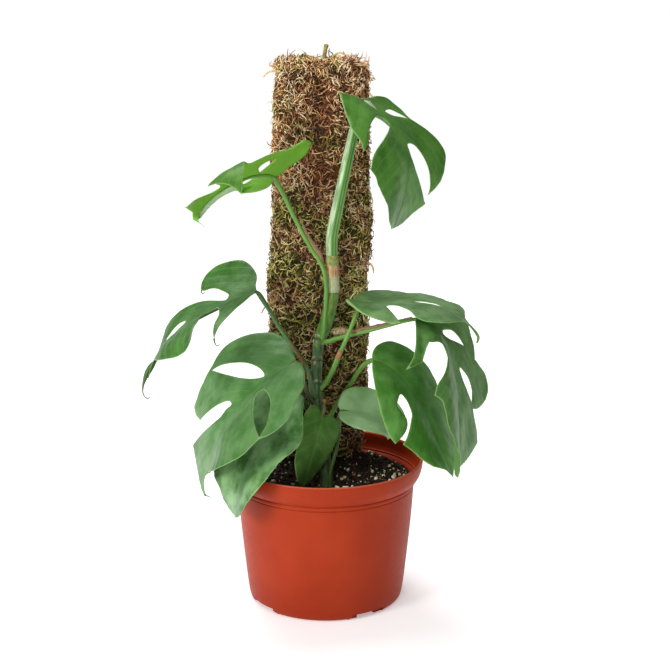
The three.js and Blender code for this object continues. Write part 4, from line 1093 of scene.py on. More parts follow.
def pot_plastic():
    """Moulded plastic: even terracotta orange, faint grain, painted shade at the foot, painted rim
    highlight.
    """
    f = Finish("pot_plastic", specular=0.1, subsurface=0.03, spread=(1.0, 0.4, 0.2))
    colour = f.tint(rgb(156, 49, 20), rgb(166, 55, 24), f.noise(45, 3), 0.3, 0.7)
    # Painted shade: darker towards the foot.
    colour = f.tint(colour, rgb(132, 36, 14), f.height(), 0.0, 0.06, 0.35, 0.0)
    scuffs = f.range(f.noise(9, 5, 0.7, f.stretched((1, 1, 0.25))), 0.62, 0.8, 0.0, 0.2)
    colour = f.mix(scuffs, colour, rgb(186, 80, 50))
    # Painted highlight: a paler line along the top of the rim.
    colour = f.tint(colour, rgb(214, 112, 82), f.height(), 0.1178, 0.1186, 0.0, 0.55)
    rough = f.range(f.noise(3.5, 3), 0.3, 0.7, 0.40, 0.50)
    grain = f.bump(f.noise(0.9, 2), 0.06, 0.25)
    return f.done(colour, rough, f.bump(f.noise(30, 1), 0.5, 0.25, grain))


# ---------------------------------------------------------------- soil
BARK_CHIPS = 110
FIBRES = 60
# The bed below its top, as [radius, z]: between the drain pockets, then just inside the wall.
BED_PROFILE = [[43, 2.4], [44.6, 7.6], [61, 7.6], [63.1, 20], [69.8, 94], [70.4, 99]]


def mound(x, y):
    """Height of the soil above its level: heaped round the pole's foot, level at the wall."""
    across, along = (x - POLE_CENTRE[0]) / 50, (y - POLE_CENTRE[1]) / 34
    to_wall = smoothstep(SOIL_RADIUS - np.hypot(x, y), 0, 14)
    lumps = 0.9 * np.sin(0.23 * x + 1) * np.cos(0.19 * y)
    return (MOUND_HEIGHT * np.exp(-across**2 - along**2) + lumps) * to_wall


def soil_height(x, y):
    level = np.column_stack([x, y, np.zeros(len(x))])
    crumbly = 1.5 * perlin(level, 9, 1.0) + 0.9 * perlin(level, 3.6, 5.0) + 0.5 * perlin(level, 1.7, 8.0)
    return SOIL_LEVEL + mound(x, y) + crumbly * smoothstep(SOIL_RADIUS - np.hypot(x, y), 0.5, 4)


def ball(detail):
    """Points and triangles of a unit icosphere."""
    work = bmesh.new()
    bmesh.ops.create_icosphere(work, subdivisions=detail, radius=1.0)
    points = np.array([v.co[:] for v in work.verts])
    faces = np.array([[v.index for v in f.verts] for f in work.faces])
    work.free()
    return points, faces


def random_turns(count):
    """Rotation matrices spread evenly over all turns."""
    q = unit(RANDOM.normal(size=(count, 4)))
    w, x, y, z = q.T
    return np.stack([
        np.stack([1 - 2 * (y * y + z * z), 2 * (x * y - z * w), 2 * (x * z + y * w)], 1),
        np.stack([2 * (x * y + z * w), 1 - 2 * (x * x + z * z), 2 * (y * z - x * w)], 1),
        np.stack([2 * (x * z - y * w), 2 * (y * z + x * w), 1 - 2 * (x * x + y * y)], 1),
    ], 1)


def add_lumps(shape, centres, sizes, detail, tones, roughness):
    """Irregular grains: sizes holds three half-widths for each centre."""
    points, faces = ball(detail)
    count, corners = len(centres), len(points)
    dents = 1 + roughness * RANDOM.uniform(-1, 1, (count, corners))
    grains = points[None] * dents[..., None] * sizes[:, None]
    grains = np.einsum("nij,nkj->nki", random_turns(count), grains) + centres[:, None]
    index = faces[None] + (np.arange(count) * corners)[:, None, None]
    shape.add(grains.reshape(-1, 3), [index.reshape(-1, 3)], 0, None, np.repeat(tones, corners))


def scattered(count):
    """Places on the soil, none under the pole or the stem."""
    spots = np.empty((0, 2))
    while len(spots) < count:
        angle = RANDOM.uniform(0, 2 * math.pi, count)
        radius = np.sqrt(RANDOM.uniform(0.0, (SOIL_RADIUS - 2.5) ** 2, count))
        x, y = round_axis(radius, angle)
        pole = np.abs(x - POLE_CENTRE[0]) < POLE_WIDTH / 2 - 2
        pole &= np.abs(y - POLE_CENTRE[1]) < POLE_DEPTH / 2 - 3
        stem = np.hypot(x - STEM_FOOT[0], y - STEM_FOOT[1]) < STEM_RADIUS - 1
        spots = np.vstack([spots, np.column_stack([x, y])[~(pole | stem)]])
    return spots[:count]


def add_crumbs(shape, count, middle_size, proud, widest, detail, roughness):
    """Grains strewn on the soil, standing proud of it by a share of their size."""
    spots = scattered(count)
    size = RANDOM.lognormal(math.log(middle_size), 0.42, count).clip(0.4, 2.3)
    centres = np.column_stack([spots, soil_height(*spots.T) + proud * size])
    stretch = RANDOM.uniform(0.6, widest, (count, 3))
    add_lumps(shape, centres, size[:, None] * stretch, detail, RANDOM.uniform(0, 1, count), roughness)


def soil_pieces():
    segments = 200
    radii = np.concatenate([[0.6], np.arange(1.8, SOIL_RADIUS - 1, 1.15), [SOIL_RADIUS - 0.6]])[::-1]
    angle = angles(segments)
    rings = [
        np.column_stack([*round_axis(radius, angle), np.full(segments, z)]) for radius, z in BED_PROFILE
    ]
    for radius in radii:
        x, y = round_axis(radius, angle)
        rings.append(np.column_stack([x, y, soil_height(x, y)]))
    top = rings[-1].mean(0)
    points = np.vstack([*rings, [[0, 0, BED_PROFILE[0][1]], top]])
    bed = Shape().add(points, ring_faces(len(rings), segments), 0, None, 0.35)

    add_crumbs(bed, 2600, 0.85, 0.25, 1.3, 1, 0.25)
    show("potting_mix", bed.mesh("potting_mix"), [potting_soil()], ["soil"])

    grains = Shape()
    add_crumbs(grains, 250, 0.95, 0.4, 1.25, 2, 0.24)
    show("perlite_grains", grains.mesh("perlite_grains"), [perlite()])

    bits = Shape()
    spots = scattered(BARK_CHIPS)
    size = RANDOM.uniform(1.1, 2.6, BARK_CHIPS)
    centres = np.column_stack([spots, soil_height(*spots.T) + 0.4])
    ones = np.ones(BARK_CHIPS)
    stretch = np.column_stack([ones, RANDOM.uniform(0.4, 0.7, BARK_CHIPS), 0.35 * ones])
    add_lumps(bits, centres, size[:, None] * stretch, 1, RANDOM.uniform(0.2, 0.8, BARK_CHIPS), 0.2)
    for x, y in scattered(FIBRES):
        heading, bow = RANDOM.uniform(0, 2 * math.pi), RANDOM.uniform(-0.5, 0.5)
        length, thickness = RANDOM.uniform(5, 15), RANDOM.uniform(0.25, 0.55)
        share = np.linspace(-0.5, 0.5, 7)
        turn = heading + bow * share * 2
        path = np.column_stack([x + length * share * np.cos(turn), y + length * share * np.sin(turn)])
        path *= np.minimum(1, (SOIL_RADIUS - 3) / np.hypot(*path.T))[:, None]
        rise = RANDOM.uniform(0.3, 1.2) + RANDOM.uniform(-2, 2) * share
        ground = soil_height(*path.T)
        line = np.column_stack([path, 0.3 * ground + 0.7 * ground.mean() + rise])
        points, faces, _ = tube(line, thickness * (1 - 1.2 * np.abs(share)), 5)
        bits.add(points, faces, 0, None, RANDOM.uniform(0.4, 1.0))
    show("bark_bits", bits.mesh("bark_bits"), [bark()])


def potting_soil():
    """Damp potting mix: near-black crumbs with brown fibres."""
    f = Finish("potting_soil", specular=0.3)
    tone = f.plus(f.times(f.shade(), 0.5), f.times(f.noise(2.5, 5, 0.7), 0.6))
    colour = f.ramp(tone, [
        (0.25, rgb(20, 13, 10)), (0.5, rgb(42, 29, 22)), (0.7, rgb(66, 46, 34)), (0.9, rgb(96, 70, 50)),
    ])
    return f.done(colour, 0.9, f.bump(f.noise(0.8, 5, 0.7), 0.8, 0.9))


def perlite():
    """Perlite and pale chips: cream, some stained yellow-green."""
    f = Finish("perlite", specular=0.25, subsurface=0.05)
    colour = f.tint(rgb(248, 244, 226), rgb(206, 202, 138), f.shade(), 0.45, 0.85)
    colour = f.tint(colour, rgb(140, 126, 92), f.noise(1.4, 3), 0.5, 0.72, 0.0, 0.7)
    return f.done(colour, 0.85, f.bump(f.cells(0.6), 0.25, 0.7))


def bark():
    f = Finish("bark", specular=0.2)
    grain = f.noise(1.2, 4, 0.6, f.stretched((1, 1, 3)))
    tone = f.plus(f.times(f.shade(), 0.7), f.times(grain, 0.3))
    colour = f.ramp(tone, [(0.1, rgb(44, 28, 20)), (0.5, rgb(98, 64, 40)), (0.9, rgb(168, 128, 84))])
    return f.done(colour, 0.85, f.bump(grain, 0.3, 0.8))


# ---------------------------------------------------------------- moss pole
def pole_section():
    """The rounded oblong of the pole, as [x, y, out x, out y], closed on its first point."""
    half_width, half_depth = POLE_WIDTH / 2 - POLE_CORNER, POLE_DEPTH / 2 - POLE_CORNER
    corners = [(half_width, -half_depth, -90), (half_width, half_depth, 0), (-half_width, half_depth, 90),
               (-half_width, -half_depth, 180)]
    points = []
    for x, y, first in corners:
        for degrees in np.linspace(first, first + 90, 16):
            out = np.array([math.cos(math.radians(degrees)), math.sin(math.radians(degrees))])
            points.append([x + POLE_CORNER * out[0], y + POLE_CORNER * out[1], *out])
    return np.array([*points, points[0]])


MOSS_LEAN = 0.02  # how far the moss drifts to the right for each unit of height
MOSS_STRAIGHT = 330  # the height where it has drifted to neither side
MOSS_INSET = 2.6  # how far the felt under the strands lies inside the solid's surface
SECTION = pole_section()
SECTION_LENGTHS = lengths_along(SECTION[:, :2])


def pole_surface(turn, z, inset=0.0):
    """Points of the moss's surface and the way out, for shares of the way round and heights."""
    at = (turn % 1) * SECTION_LENGTHS[-1]
    x, y, out_x, out_y = (np.interp(at, SECTION_LENGTHS, SECTION[:, k]) for k in range(4))
    x, y = x - out_x * inset, y - out_y * inset
    angle = np.arctan2(y, x)
    bulge = 1.2 * np.sin(3 * angle + 0.045 * z) + 0.9 * np.sin(5 * angle - 0.08 * z + 1)
    belly = 1.04 - 0.10 * ((z - 240) / 200) ** 2
    scale = belly + bulge / np.hypot(x, y)
    lean = MOSS_LEAN * (z - MOSS_STRAIGHT)
    points = np.column_stack([x * scale + lean, y * np.minimum(scale, 1), z]) + POLE_CENTRE
    outward = unit(np.column_stack([out_x, out_y, np.zeros(len(x))]))
    return points, outward


def clumps(points):
    """How far the moss stands out or in: tufts, and the cleft down the front of the top."""
    tufts = 1.9 * perlin(points, 22, 2.0) + 1.5 * perlin(points, 8, 6.0)
    front = points[:, 1] < POLE_CENTRE[1]
    cleft = np.exp(-(((points[:, 0] + 3.5) / 4.0) ** 2)) * smoothstep(points[:, 2], 325, 420)
    return tufts - MOSS_INSET - 3.0 * cleft * front


def slumped(points):
    """The points with the top of the pole sunk at its right corner, and a little at its left."""
    right = 12 * smoothstep(points[:, 0], 24, 38)
    left = 4 * smoothstep(-points[:, 0], 36, 44)
    high = smoothstep(points[:, 2], 380, SHOULDER)
    return points - np.outer((right + left) * high, [0, 0, 1])


CROWN_RINGS = [(1.5, 2.5), (2.5, 6), (3, 10), (3, 14)]  # heights over the shoulder, and insets


def moss_core():
    sides = 150
    turn = np.arange(sides) / sides
    levels = [(z, 0.6) for z in [*np.arange(POLE_BOTTOM, SHOULDER, 2.6), SHOULDER]]
    levels += [(SHOULDER + rise, inset) for rise, inset in CROWN_RINGS]
    rings = []
    for z, inset in levels:
        points, outward = pole_surface(turn, np.full(sides, float(z)), inset)
        rings.append(points + outward * (clumps(points) - 0.4)[:, None])
    rings = np.array(rings)
    ends = [rings[0].mean(0), rings[-1].mean(0)]
    points = slumped(np.vstack([rings.reshape(-1, 3), ends]))
    # The felt's low, dark tones are painted shade: the dark gaps between the strands.
    tone = 0.14 + 0.14 * perlin(points, 3.5, 3.0)
    core = Shape().add(points, ring_faces(len(rings), sides), 0, None, tone)
    show("moss_core", core.mesh("moss_core"), [moss("moss_felt_painted_shade")], ["moss_pole"])


STRANDS_ON_SIDES = 27000
STRANDS_ON_TOP = 2200
STRAND_PIECES = 4
STRAND_FOOT = 98  # the lowest strands start here, just under the soil
STRAND_SEGMENTS = 3
STRAND_TAPER = np.array([0.8, 1.05, 0.95, 0.5])


def strands(starts, outward, headings, lengths, curls, lifts, widths, tones):
    """Closed three-sided strands, each an arc that leaves the surface and bends back to it."""
    count = len(starts)
    s = np.linspace(0, 1, STRAND_SEGMENTS + 1)[None, :, None]
    side = np.cross(outward, headings)[:, None]
    turn = curls[:, None, None]
    arc = (np.sin(turn * s) * headings[:, None] + (1 - np.cos(turn * s)) * side) / turn
    wave = np.sin(math.pi * s * 1.15)
    line = starts[:, None] + lengths[:, None, None] * arc + lifts[:, None, None] * wave * outward[:, None]
    tangents = unit(np.gradient(line, axis=1))
    up = unit(outward[:, None] - tangents * (tangents * outward[:, None]).sum(2, keepdims=True))
    across = np.cross(tangents, up)
    angle = angles(3)[None, None, :, None]
    half = 0.5 * widths[:, None, None, None] * STRAND_TAPER[None, :, None, None]
    ring = line[:, :, None] + half * (np.cos(angle) * up[:, :, None] + np.sin(angle) * across[:, :, None])
    points = ring.reshape(count, -1, 3)
    quads = ring_faces(STRAND_SEGMENTS + 1, 3)[0]
    last = 3 * STRAND_SEGMENTS
    caps = np.array([[2, 1, 0], [last, last + 1, last + 2]])
    offset = (np.arange(count) * points.shape[1])[:, None, None]
    faces = [(quads[None] + offset).reshape(-1, 4), (caps[None] + offset).reshape(-1, 3)]
    paler = np.repeat(np.linspace(-0.06, 0.08, STRAND_SEGMENTS + 1), 3)
    return points.reshape(-1, 3), faces, (tones[:, None] + paler[None]).reshape(-1)


def moss_strands():
    turn = RANDOM.uniform(0, 1, STRANDS_ON_SIDES)
    z = RANDOM.uniform(STRAND_FOOT, SHOULDER + 1, STRANDS_ON_SIDES)
    sides, outward = pole_surface(turn, z)
    sides = sides + outward * (clumps(sides) - 0.5)[:, None]
    angle = RANDOM.uniform(0, 1, STRANDS_ON_TOP)
    inset = RANDOM.uniform(0.0, 1.0, STRANDS_ON_TOP) ** 1.3
    rim, rim_out = pole_surface(angle, np.full(STRANDS_ON_TOP, SHOULDER - 2.0))
    middle = np.array([POLE_CENTRE[0] + 2, POLE_CENTRE[1], SHOULDER + 2.0])
    top = rim + (middle - rim) * inset[:, None]
    top[:, 2] = SHOULDER + 0.5 + 2.5 * np.sqrt(inset) + 2.2 * perlin(top, 12, 4.0)
    top[:, 2] -= 3.5 * np.exp(-(((top[:, 0] + 3.5) / 5) ** 2))
    top_out = unit(rim_out * (1 - inset)[:, None] ** 2 + np.array([0, 0, 1.0]) * (0.35 + inset)[:, None])

    starts, out = np.vstack([sides, top]), np.vstack([outward, top_out])
    count = len(starts)
    starts = slumped(starts) + out * RANDOM.uniform(-1.5, 1.0, count)[:, None]
    lean = RANDOM.uniform(0, 2 * math.pi, count)
    flat_x = unit(np.cross(np.tile([0.02, 0.03, 1.0], (count, 1)), out + 1e-6))
    flat_y = np.cross(out, flat_x)
    headings = np.cos(lean)[:, None] * flat_x * 0.8 + np.sin(lean)[:, None] * flat_y
    steep = RANDOM.uniform(0, 1, count) < 0.2
    headings = unit(headings + out * np.where(steep, RANDOM.uniform(0.5, 1.6, count), 0.12)[:, None])
    out = unit(out - headings * (out * headings).sum(1)[:, None])
    lengths = RANDOM.lognormal(math.log(5.6), 0.42, count).clip(2, 13)
    lengths = np.where(steep, lengths.clip(2.5, 5.5), lengths)
    curls = RANDOM.uniform(0.15, 1.9, count) * RANDOM.choice([-1, 1], count)
    lifts = RANDOM.uniform(0.2, 2.2, count)
    widths = RANDOM.uniform(0.5, 1.2, count) * np.where(steep, 0.8, 1.0)
    # Painted light and shade: strands on tufts that stand out are paler, those in hollows darker, and those
    # near the cleft darker still.
    painted_tuft_shade = 0.10 * (clumps(starts) + MOSS_INSET) / 2
    cleft = np.exp(-(((starts[:, 0] + 4) / 8) ** 2) - ((starts[:, 2] - 375) / 45) ** 2)
    tones = RANDOM.beta(0.75, 0.7, count) + 0.2 * perlin(starts, 9, 7.0) + painted_tuft_shade
    tones = (tones * (1 - 0.55 * cleft)).clip(0.0, 1.0)
    order = RANDOM.permutation(count)
    finish = moss("moss_strand")
    data = (starts, out, headings, lengths, curls, lifts, widths, tones)
    for number, chosen in enumerate(np.array_split(order, STRAND_PIECES), 1):
        points, faces, shades = strands(*(values[chosen] for values in data))
        shape = Shape().add(points, faces, 0, None, shades)
        name = f"moss_strands_{number}"
        show(name, shape.mesh(name), [finish])


TWIG_PATH = [[0, 45, 428], [-0.8, 45, 440], [0, 45, 445.5], [0.8, 45.5, 449.3]]
LOOSE_STRANDS = [
    [[-36, 30, 429], [-42, 29, 429.5], [-46.2, 28.5, 428], [-49.5, 28.5, 424.8]],
    [[-36, 34, 431], [-41, 33, 434], [-44, 32, 433], [-44, 32, 436]],
    [[4, 40, 437], [8, 39, 442], [12, 38, 443.5], [15, 38, 442]],
    [[28, 40, 434], [33, 39, 437], [35, 38, 433]],
    [[34, 36, 412], [38, 35, 409], [41, 34, 409]],
    [[34, 34, 275], [38, 33, 272], [39.5, 32, 266]],
    [[-40, 30, 244], [-46, 16, 243], [-49.5, 6, 242], [-51.5, 4, 238.5]],
]


def moss_ends():
    """The twig in the top of the pole and the longest loose strands."""
    shape = Shape()
    twig = curve(TWIG_PATH, 1.0)
    radii = np.interp(np.arange(len(twig)), [0, len(twig) - 5, len(twig) - 1], [2.1, 1.6, 2.0])
    shape.add(*tube(twig, radii, 8, 0.2 * perlin(twig, 2.5)[:, None])[:2], 1, None, 0.72)
    for path in LOOSE_STRANDS:
        line = curve(path, 1.2)
        radii = np.linspace(0.95, 0.6, len(line)) * (1 + 0.3 * perlin(line, 1.5))
        shape.add(*tube(line, radii, 5, facing=(0.1, -1, 0.1))[:2], 0, None, RANDOM.uniform(0.6, 0.8))
    show("moss_twig", shape.mesh("moss_twig"), [moss("moss_loose"), twig_bark()])


def twig_bark():
    f = Finish("twig_bark", specular=0.2)
    grain = f.noise(1.5, 4)
    colour = f.tint(rgb(126, 112, 58), rgb(186, 170, 108), grain, 0.35, 0.65)
    return f.done(colour, 0.8, f.bump(grain, 0.4, 0.8))


# ---------------------------------------------------------------- stem, sheaths and aerial root
STEM_PATH = [
    [2, -28, 70], [1, -26, 102], [-2, -20, 131], [-7, -12, 166], [-8, -4, 182], [-7, 2, 197],
    [-5, 8, 215], [0, 12, 227], [4, 15, 243], [6, 17, 253],
]
STEM_NODES = [[0.12, 0.4], [0.3, 0.4], [0.46, 0.5], [0.6, 1.0], [0.70, 0.5], [0.79, 1.0]]
STEM_GIRTHS = [
    [70, 5.7], [160, 5.6], [178, 5.2], [190, 4.8], [204, 4.3], [212, 4.6], [222, 5.4], [253, 5.5],
]
# Stubs of fallen sheaths and scars on the stem: path and radius.
STUBS = [
    ([[-2, -16, 158], [-1.6, -18, 165], [-1.2, -19, 171]], 1.1),
    ([[-1.2, -19, 170.5], [-1.0, -19.5, 173]], 1.7),
    ([[9.6, -15.3, 206], [10.7, -16.4, 208.8], [12.2, -17.7, 212.4]], 2.0),
    ([[-14.3, -18.4, 194.7], [-14.1, -18.3, 192.4], [-13.9, -17.9, 189.6]], 0.8),
]
UPPER_SHEATH_PATH = [[6, 17, 253.5], [5.9, 16.9, 267], [5.4, 16.2, 284]]
UPPER_SHEATH_GIRTHS = [[0, 5.4], [0.06, 5.4], [0.4, 5.3], [0.8, 5.1], [1, 4.9]]
AERIAL_ROOT_PATH = [[4, 12.5, 221.5], [9, 13.5, 221.5], [14, 14.5, 221.5], [19.5, 16, 220.5]]
AERIAL_ROOT_GIRTHS = [[0, 1.8], [0.25, 2.8], [0.5, 3.0], [0.8, 2.6], [1, 1.3]]
# Dry strips along the stalks of leaves 2, 3 and 10: the path, [share, radius] rows along it, the
# way its flat side looks, its material's name and tones, and the solid that it stands for.
STRIPS = {
    "leaf_2_sheath": (
        [[-20.5, 13, 315.5], [-17.3, 13.5, 306.7], [-13, 14, 297.2], [-8, 14, 289], [-4.3, 13.5, 283],
         [-2.5, 13, 277.5], [-1.5, 12.5, 273.5]],
        [[0, 0.4], [0.25, 1.3], [0.5, 2.2], [0.7, 2.6], [0.85, 2.0], [1, 1.0]],
        (0.5, -0.8, -0.2), ("dry_sheath_skin", rgb(104, 72, 46), rgb(196, 166, 126)), ["sheath_leaf_2"],
    ),
    "leaf_3_sheath": (
        [[-27.5, -22, 221.6], [-24, -22, 215], [-19.7, -21.5, 207.6], [-15.4, -20, 200.7]],
        [[0, 0.4], [0.4, 1.3], [0.8, 1.5], [1, 0.6]],
        (0.4, -0.7, 0.5), ("brown_sheath_skin", rgb(74, 42, 26), rgb(160, 112, 78)), [],
    ),
    "leaf_10_sheath": (
        [[16.5, -11.5, 225.8], [22, -14.5, 227.9], [28, -18, 230.1], [32.6, -20.5, 232],
         [39.2, -24, 234.2], [47.7, -27, 236.8], [56.6, -29.8, 239.5], [67.8, -33, 243.4]],
        [[0, 0.6], [0.2, 1.4], [0.8, 1.1], [1, 0.6]],
        (0.1, -0.8, 0.55), ("stalk_strip_skin", rgb(88, 56, 40), rgb(190, 150, 116)), [],
    ),
}
STRIP_SIDES = 12
STRIP_FLATNESS = 0.35


def stem_skin():
    """Stem: dull dark green low down, brighter above, with pale and tan scars at the nodes."""
    f = Finish("stem_skin", specular=0.45, subsurface=0.04, spread=LEAF_RADII)
    height = f.height()
    lines = streaks(f, 1.5, 0.07, 2.0)
    low = f.tint(rgb(44, 74, 38), rgb(84, 112, 66), lines, 0.35, 0.7)
    high = f.tint(rgb(66, 112, 36), rgb(104, 146, 60), lines, 0.35, 0.65)
    colour = f.tint(low, high, height, 0.205, 0.228)
    spots = f.times(f.range(f.noise(1.8, 4), 0.48, 0.60), f.range(height, 0.234, 0.248))
    colour = f.mix(f.times(spots, 0.7), colour, rgb(150, 124, 74))
    colour = f.tint(colour, rgb(128, 120, 76), f.noise(3.0, 3), 0.60, 0.68, 0.0, 0.5)
    chips = f.times(f.range(f.noise(2.4, 3), 0.54, 0.60), f.range(f.shade(), 0.15, 0.6))
    colour = f.mix(f.times(chips, 0.85), colour, rgb(196, 176, 142))
    colour = f.tint(colour, rgb(40, 46, 24), f.shade(), 0.86, 0.97, 0.0, 0.75)
    return f.done(colour, 0.45, f.bump(lines, 0.3, 0.5))


def paper_skin(name, dark, light):
    """Dried sheath: tan, streaked lengthwise."""
    f = Finish(name, specular=0.25, subsurface=0.05)
    lines = streaks(f, 2.2, 0.09, 2.4, 5.0)
    middle = [(a + b) / 2 for a, b in zip(dark, light)]
    colour = f.ramp(lines, [(0.32, dark), (0.5, middle), (0.68, light)])
    return f.done(colour, 0.6, f.bump(lines, 0.6, 0.8))


def upper_sheath_skin():
    """The last sheath: pale green film at its foot, a tan band, green with tan flecks above."""
    f = Finish("upper_sheath_skin", specular=0.3, subsurface=0.08)
    lines = streaks(f, 2.2, 0.09, 2.4, 5.0)
    flecks = f.noise(1.7, 3)
    film = f.ramp(lines, [(0.3, rgb(128, 144, 96)), (0.55, rgb(184, 188, 146)), (0.8, rgb(216, 210, 176))])
    tan = f.ramp(lines, [(0.3, rgb(124, 84, 52)), (0.5, rgb(176, 136, 92)), (0.7, rgb(212, 184, 136))])
    green = f.tint(rgb(84, 122, 52), rgb(132, 158, 92), lines, 0.35, 0.65)
    green = f.tint(green, rgb(176, 146, 94), flecks, 0.5, 0.58, 0.0, 0.8)
    ragged = f.times(f.minus(flecks, 0.5), 0.012)
    level = f.plus(f.height(), ragged)
    colour = f.tint(film, tan, level, 0.2655, 0.2675)
    colour = f.tint(colour, green, level, 0.2745, 0.2765)
    return f.done(colour, 0.55, f.bump(lines, 0.5, 0.7))


def root_skin():
    """Corky knob of the aerial root: pale tan with dark pits."""
    f = Finish("root_skin", specular=0.2)
    pits = f.noise(1.3, 3)
    colour = f.ramp(pits, [(0.34, rgb(92, 68, 44)), (0.46, rgb(176, 152, 108)), (0.66, rgb(222, 206, 166))])
    return f.done(colour, 0.8, f.bump(pits, 0.5, 0.9))


def show_tube(name, finish, replaced, *form):
    """A papery piece that is one tube. Its form is what tube takes."""
    points, faces, chart = tube(*form)
    shape = Shape().add(points, faces, 0, chart, 0.0)
    show(name, shape.mesh(name), [finish], replaced)


def thin_strip(name, path, girths, facing, skin, replaced):
    """A flattened papery strip, torn at its edges."""
    line = curve(path, 1.0)
    places = np.repeat(line, STRIP_SIDES, axis=0) + np.tile(np.arange(STRIP_SIDES), len(line))[:, None]
    ragged = 0.3 * perlin(places, 3).reshape(len(line), STRIP_SIDES)
    form = (line, girth_along(line, girths), STRIP_SIDES, ragged, facing, STRIP_FLATNESS)
    show_tube(name, paper_skin(*skin), replaced, *form)


def stem_body():
    line = curve(STEM_PATH, 1.2)
    along = lengths_along(line)
    share = along / along[-1]
    swell, near_node = np.zeros(len(line)), np.zeros(len(line))
    for node, height in STEM_NODES:
        swell += height * np.exp(-(((share - node) * along[-1] / 2.6) ** 2))
        near_node += np.exp(-(((share - node) * along[-1] / 3.5) ** 2))
    sides = 28
    relief = 0.025 * perlin(line, 4, 3.0)[:, None]
    radii = np.interp(line[:, 2], *np.array(STEM_GIRTHS).T)
    points, faces, chart = tube(line, radii + 0.8 * swell, sides, relief)
    shape = Shape()
    shape.add(points, faces, 0, chart, np.concatenate([np.repeat(near_node, sides), [0, 0]]))
    for path, radius in STUBS:
        stub = curve(path, 0.8)
        points, faces, chart = tube(stub, radius, 10, 0.15 * perlin(stub, 1.7)[:, None])
        shape.add(points, faces, 1, chart, 0.0)
    finishes = [stem_skin(), paper_skin("stub_tan", rgb(104, 64, 36), rgb(214, 160, 108))]
    show("stem_body", shape.mesh("stem_body"), finishes, ["stem"])


def upper_sheath():
    line = curve(UPPER_SHEATH_PATH, 1.0)
    sides = 36
    angle = angles(sides)
    around = np.column_stack([5 * np.cos(angle), 5 * np.sin(angle), np.zeros(sides)])
    grain = np.repeat(line, sides, axis=0) + np.tile(around, (len(line), 1))
    ridges = perlin(grain * [1, 1, 0.15], 1.6, 4.0).reshape(len(line), sides)
    form = (line, girth_along(line, UPPER_SHEATH_GIRTHS), sides, 0.04 * ridges)
    show_tube("upper_sheath", upper_sheath_skin(), ["sheath_upper"], *form)


def aerial_root():
    line = curve(AERIAL_ROOT_PATH, 0.7)
    sides = 12
    places = np.repeat(line, sides, axis=0)
    grain = perlin(places + RANDOM.normal(0, 0.5, places.shape), 2.0).reshape(len(line), sides)
    form = (line, girth_along(line, AERIAL_ROOT_GIRTHS), sides, 0.28 * grain)
    show_tube("aerial_root_knob", root_skin(), ["aerial_root"], *form)


def stake_wood():
    f = Finish("stake_wood_grain", specular=0.25)
    grain = f.noise(3, 5, 0.6, f.stretched((1, 1, 0.06)))
    colour = f.ramp(grain, [(0.3, rgb(106, 76, 46)), (0.55, rgb(150, 114, 74)), (0.75, rgb(184, 150, 106))])
    return f.done(colour, 0.75, f.bump(grain, 0.4, 0.6))


# ---------------------------------------------------------------- studio
SKY_LIGHT = 0.28
FLOOR_GLOW = (0.36, 0.75)  # near the pot and far off, where the lamps no longer reach
FLOOR_REACH = 60000.0  # how far the floor goes to each side
# Each lamp's place in metres, its width and its power. All look at the middle of the plant.
LAMPS = {
    "key": ((-1.8, -1.7, 1.05), 1.0, 38.0),
    "front": ((-0.3, -1.6, 1.9), 0.8, 11.0),
    "top": ((-0.5, 0.7, 1.9), 1.4, 30.0),
}
LAMP_AIM = Vector((0.0, 0.0, 0.22))
CAMERA_PLACE = (0.0077, -1.170, 0.498)
CAMERA_TILT = 76.7
CAMERA_LENS = 80.2


def studio_floor():
    corners = np.array([[-1, -1, 0], [1, -1, 0], [1, 1, 0], [-1, 1, 0]]) * FLOOR_REACH
    floor_mesh = Shape().add(corners, [np.array([[0, 1, 2, 3]])]).mesh("studio_floor")
    floor = placed("studio_floor", floor_mesh)
    paint = Finish("studio_white", specular=0.1)
    paint.shader.inputs["Emission Color"].default_value = (1.0, 1.0, 1.0, 1.0)
    away = paint.node("ShaderNodeVectorMath", {0: paint.place}, "Value", operation="LENGTH")
    glow = paint.range(away, 0.5, 4.0, *FLOOR_GLOW)
    paint.feed(paint.shader.inputs["Emission Strength"], glow)
    floor_mesh.materials.append(paint.done(rgb(250, 250, 250), 0.9))


def soft_light(name, place, width, power):
    data = bpy.data.lights.new(name, "AREA")
    data.shape, data.size, data.energy = "DISK", width, power
    light = placed(name, data)
    light.location = place
    light.rotation_mode = "QUATERNION"
    light.rotation_quaternion = (Vector(place) - LAMP_AIM).to_track_quat("Z", "Y")


def studio():
    scene = bpy.context.scene
    scene.view_settings.view_transform = "Standard"
    world = bpy.data.worlds.new("studio")
    world.use_nodes = True
    sky = world.node_tree.nodes["Background"]
    sky.inputs["Color"].default_value = (1.0, 1.0, 1.0, 1.0)
    sky.inputs["Strength"].default_value = SKY_LIGHT
    scene.world = world
    for name, lamp in LAMPS.items():
        soft_light(name, *lamp)

    data = bpy.data.cameras.new("camera")
    data.sensor_width = 36.0
    data.lens = CAMERA_LENS
    camera = placed("camera", data)
    camera.location = CAMERA_PLACE
    camera.rotation_euler = (math.radians(CAMERA_TILT), 0.0, 0.0)
    scene.camera = camera


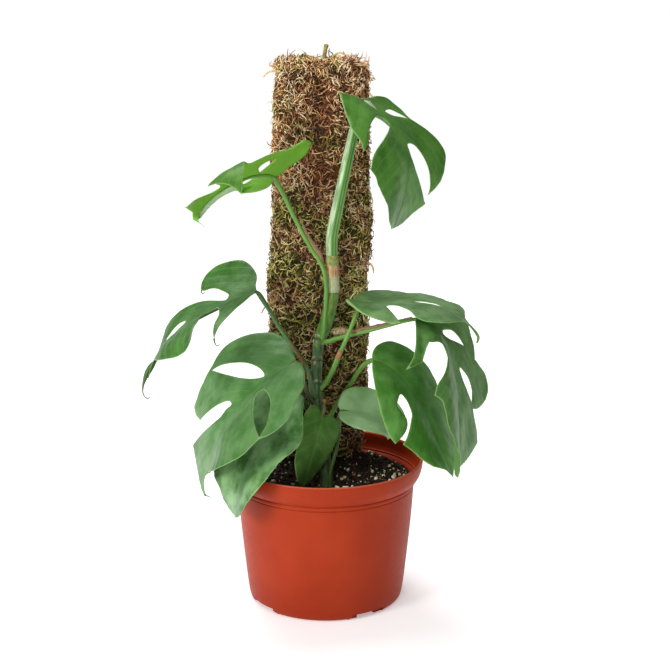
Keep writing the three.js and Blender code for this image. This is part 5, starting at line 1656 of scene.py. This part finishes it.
# ---------------------------------------------------------------- assembly
studio_floor()
studio()
show("pot_shell", pot_mesh(), [pot_plastic()], ["pot"])
soil_pieces()
moss_core()
moss_strands()
moss_ends()
stem_body()
upper_sheath()
for name, strip in STRIPS.items():
    thin_strip(name, *strip)
aerial_root()
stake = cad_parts["pole_stake"]
stake.data.materials.clear()
stake.data.materials.append(stake_wood())

BRIGHT_STALK = stalk_skin("stalk_bright", rgb(70, 122, 36), rgb(118, 164, 72))
GREEN_STALK = stalk_skin("stalk_green", rgb(50, 84, 40), rgb(82, 120, 58))
BROWN_STALK = stalk_skin("stalk_brown", rgb(66, 74, 38), rgb(104, 108, 62))
SHADED_STALK = stalk_skin("stalk_shaded", rgb(70, 116, 38), rgb(110, 152, 70), rgb(46, 66, 30))
PLAIN_BACK = rgb(98, 142, 80)
# Leaf 2's back: a bright yellow-green that is painted light shining through the blade.
BACK_LIT_THROUGH = rgb(120, 178, 60)
# Each blade's dark and light green, how glossy it is, the colour of its back, and its stalk.
LEAF_TONES = {
    "leaf_1": (rgb(50, 102, 24), rgb(76, 130, 42), 0.12, PLAIN_BACK, grooved_stalk_skin()),
    "leaf_2": (rgb(58, 104, 28), rgb(88, 136, 50), 0.12, BACK_LIT_THROUGH, BRIGHT_STALK),
    "leaf_3": (rgb(36, 86, 22), rgb(66, 114, 44), 0.25, PLAIN_BACK, GREEN_STALK),
    "leaf_4": (rgb(62, 112, 48), rgb(94, 138, 80), 0.32, PLAIN_BACK, BROWN_STALK),
    # Leaf 5's pale light green makes its mottling painted sheen.
    "leaf_5": (rgb(54, 106, 40), rgb(132, 176, 116), 0.45, PLAIN_BACK, GREEN_STALK),
    "leaf_6": (rgb(62, 104, 38), rgb(84, 126, 58), 0.12, PLAIN_BACK, BROWN_STALK),
    # Leaf 7's pale greens are painted light and sheen.
    "leaf_7": (rgb(152, 198, 132), rgb(186, 222, 170), 0.45, PLAIN_BACK, SHADED_STALK),
    "leaf_8": (rgb(70, 128, 44), rgb(104, 158, 78), 0.06, PLAIN_BACK, BRIGHT_STALK),
    "leaf_9": (rgb(74, 118, 60), rgb(118, 156, 102), 0.12, PLAIN_BACK, BRIGHT_STALK),
    "leaf_10": (rgb(60, 106, 42), rgb(88, 132, 68), 0.06, PLAIN_BACK, BRIGHT_STALK),
}
for leaf in LEAVES:
    *looks, stalk = LEAF_TONES[leaf["name"]]
    make_leaf(leaf, leaf_skin(f"{leaf['name']}_skin", *looks), stalk)
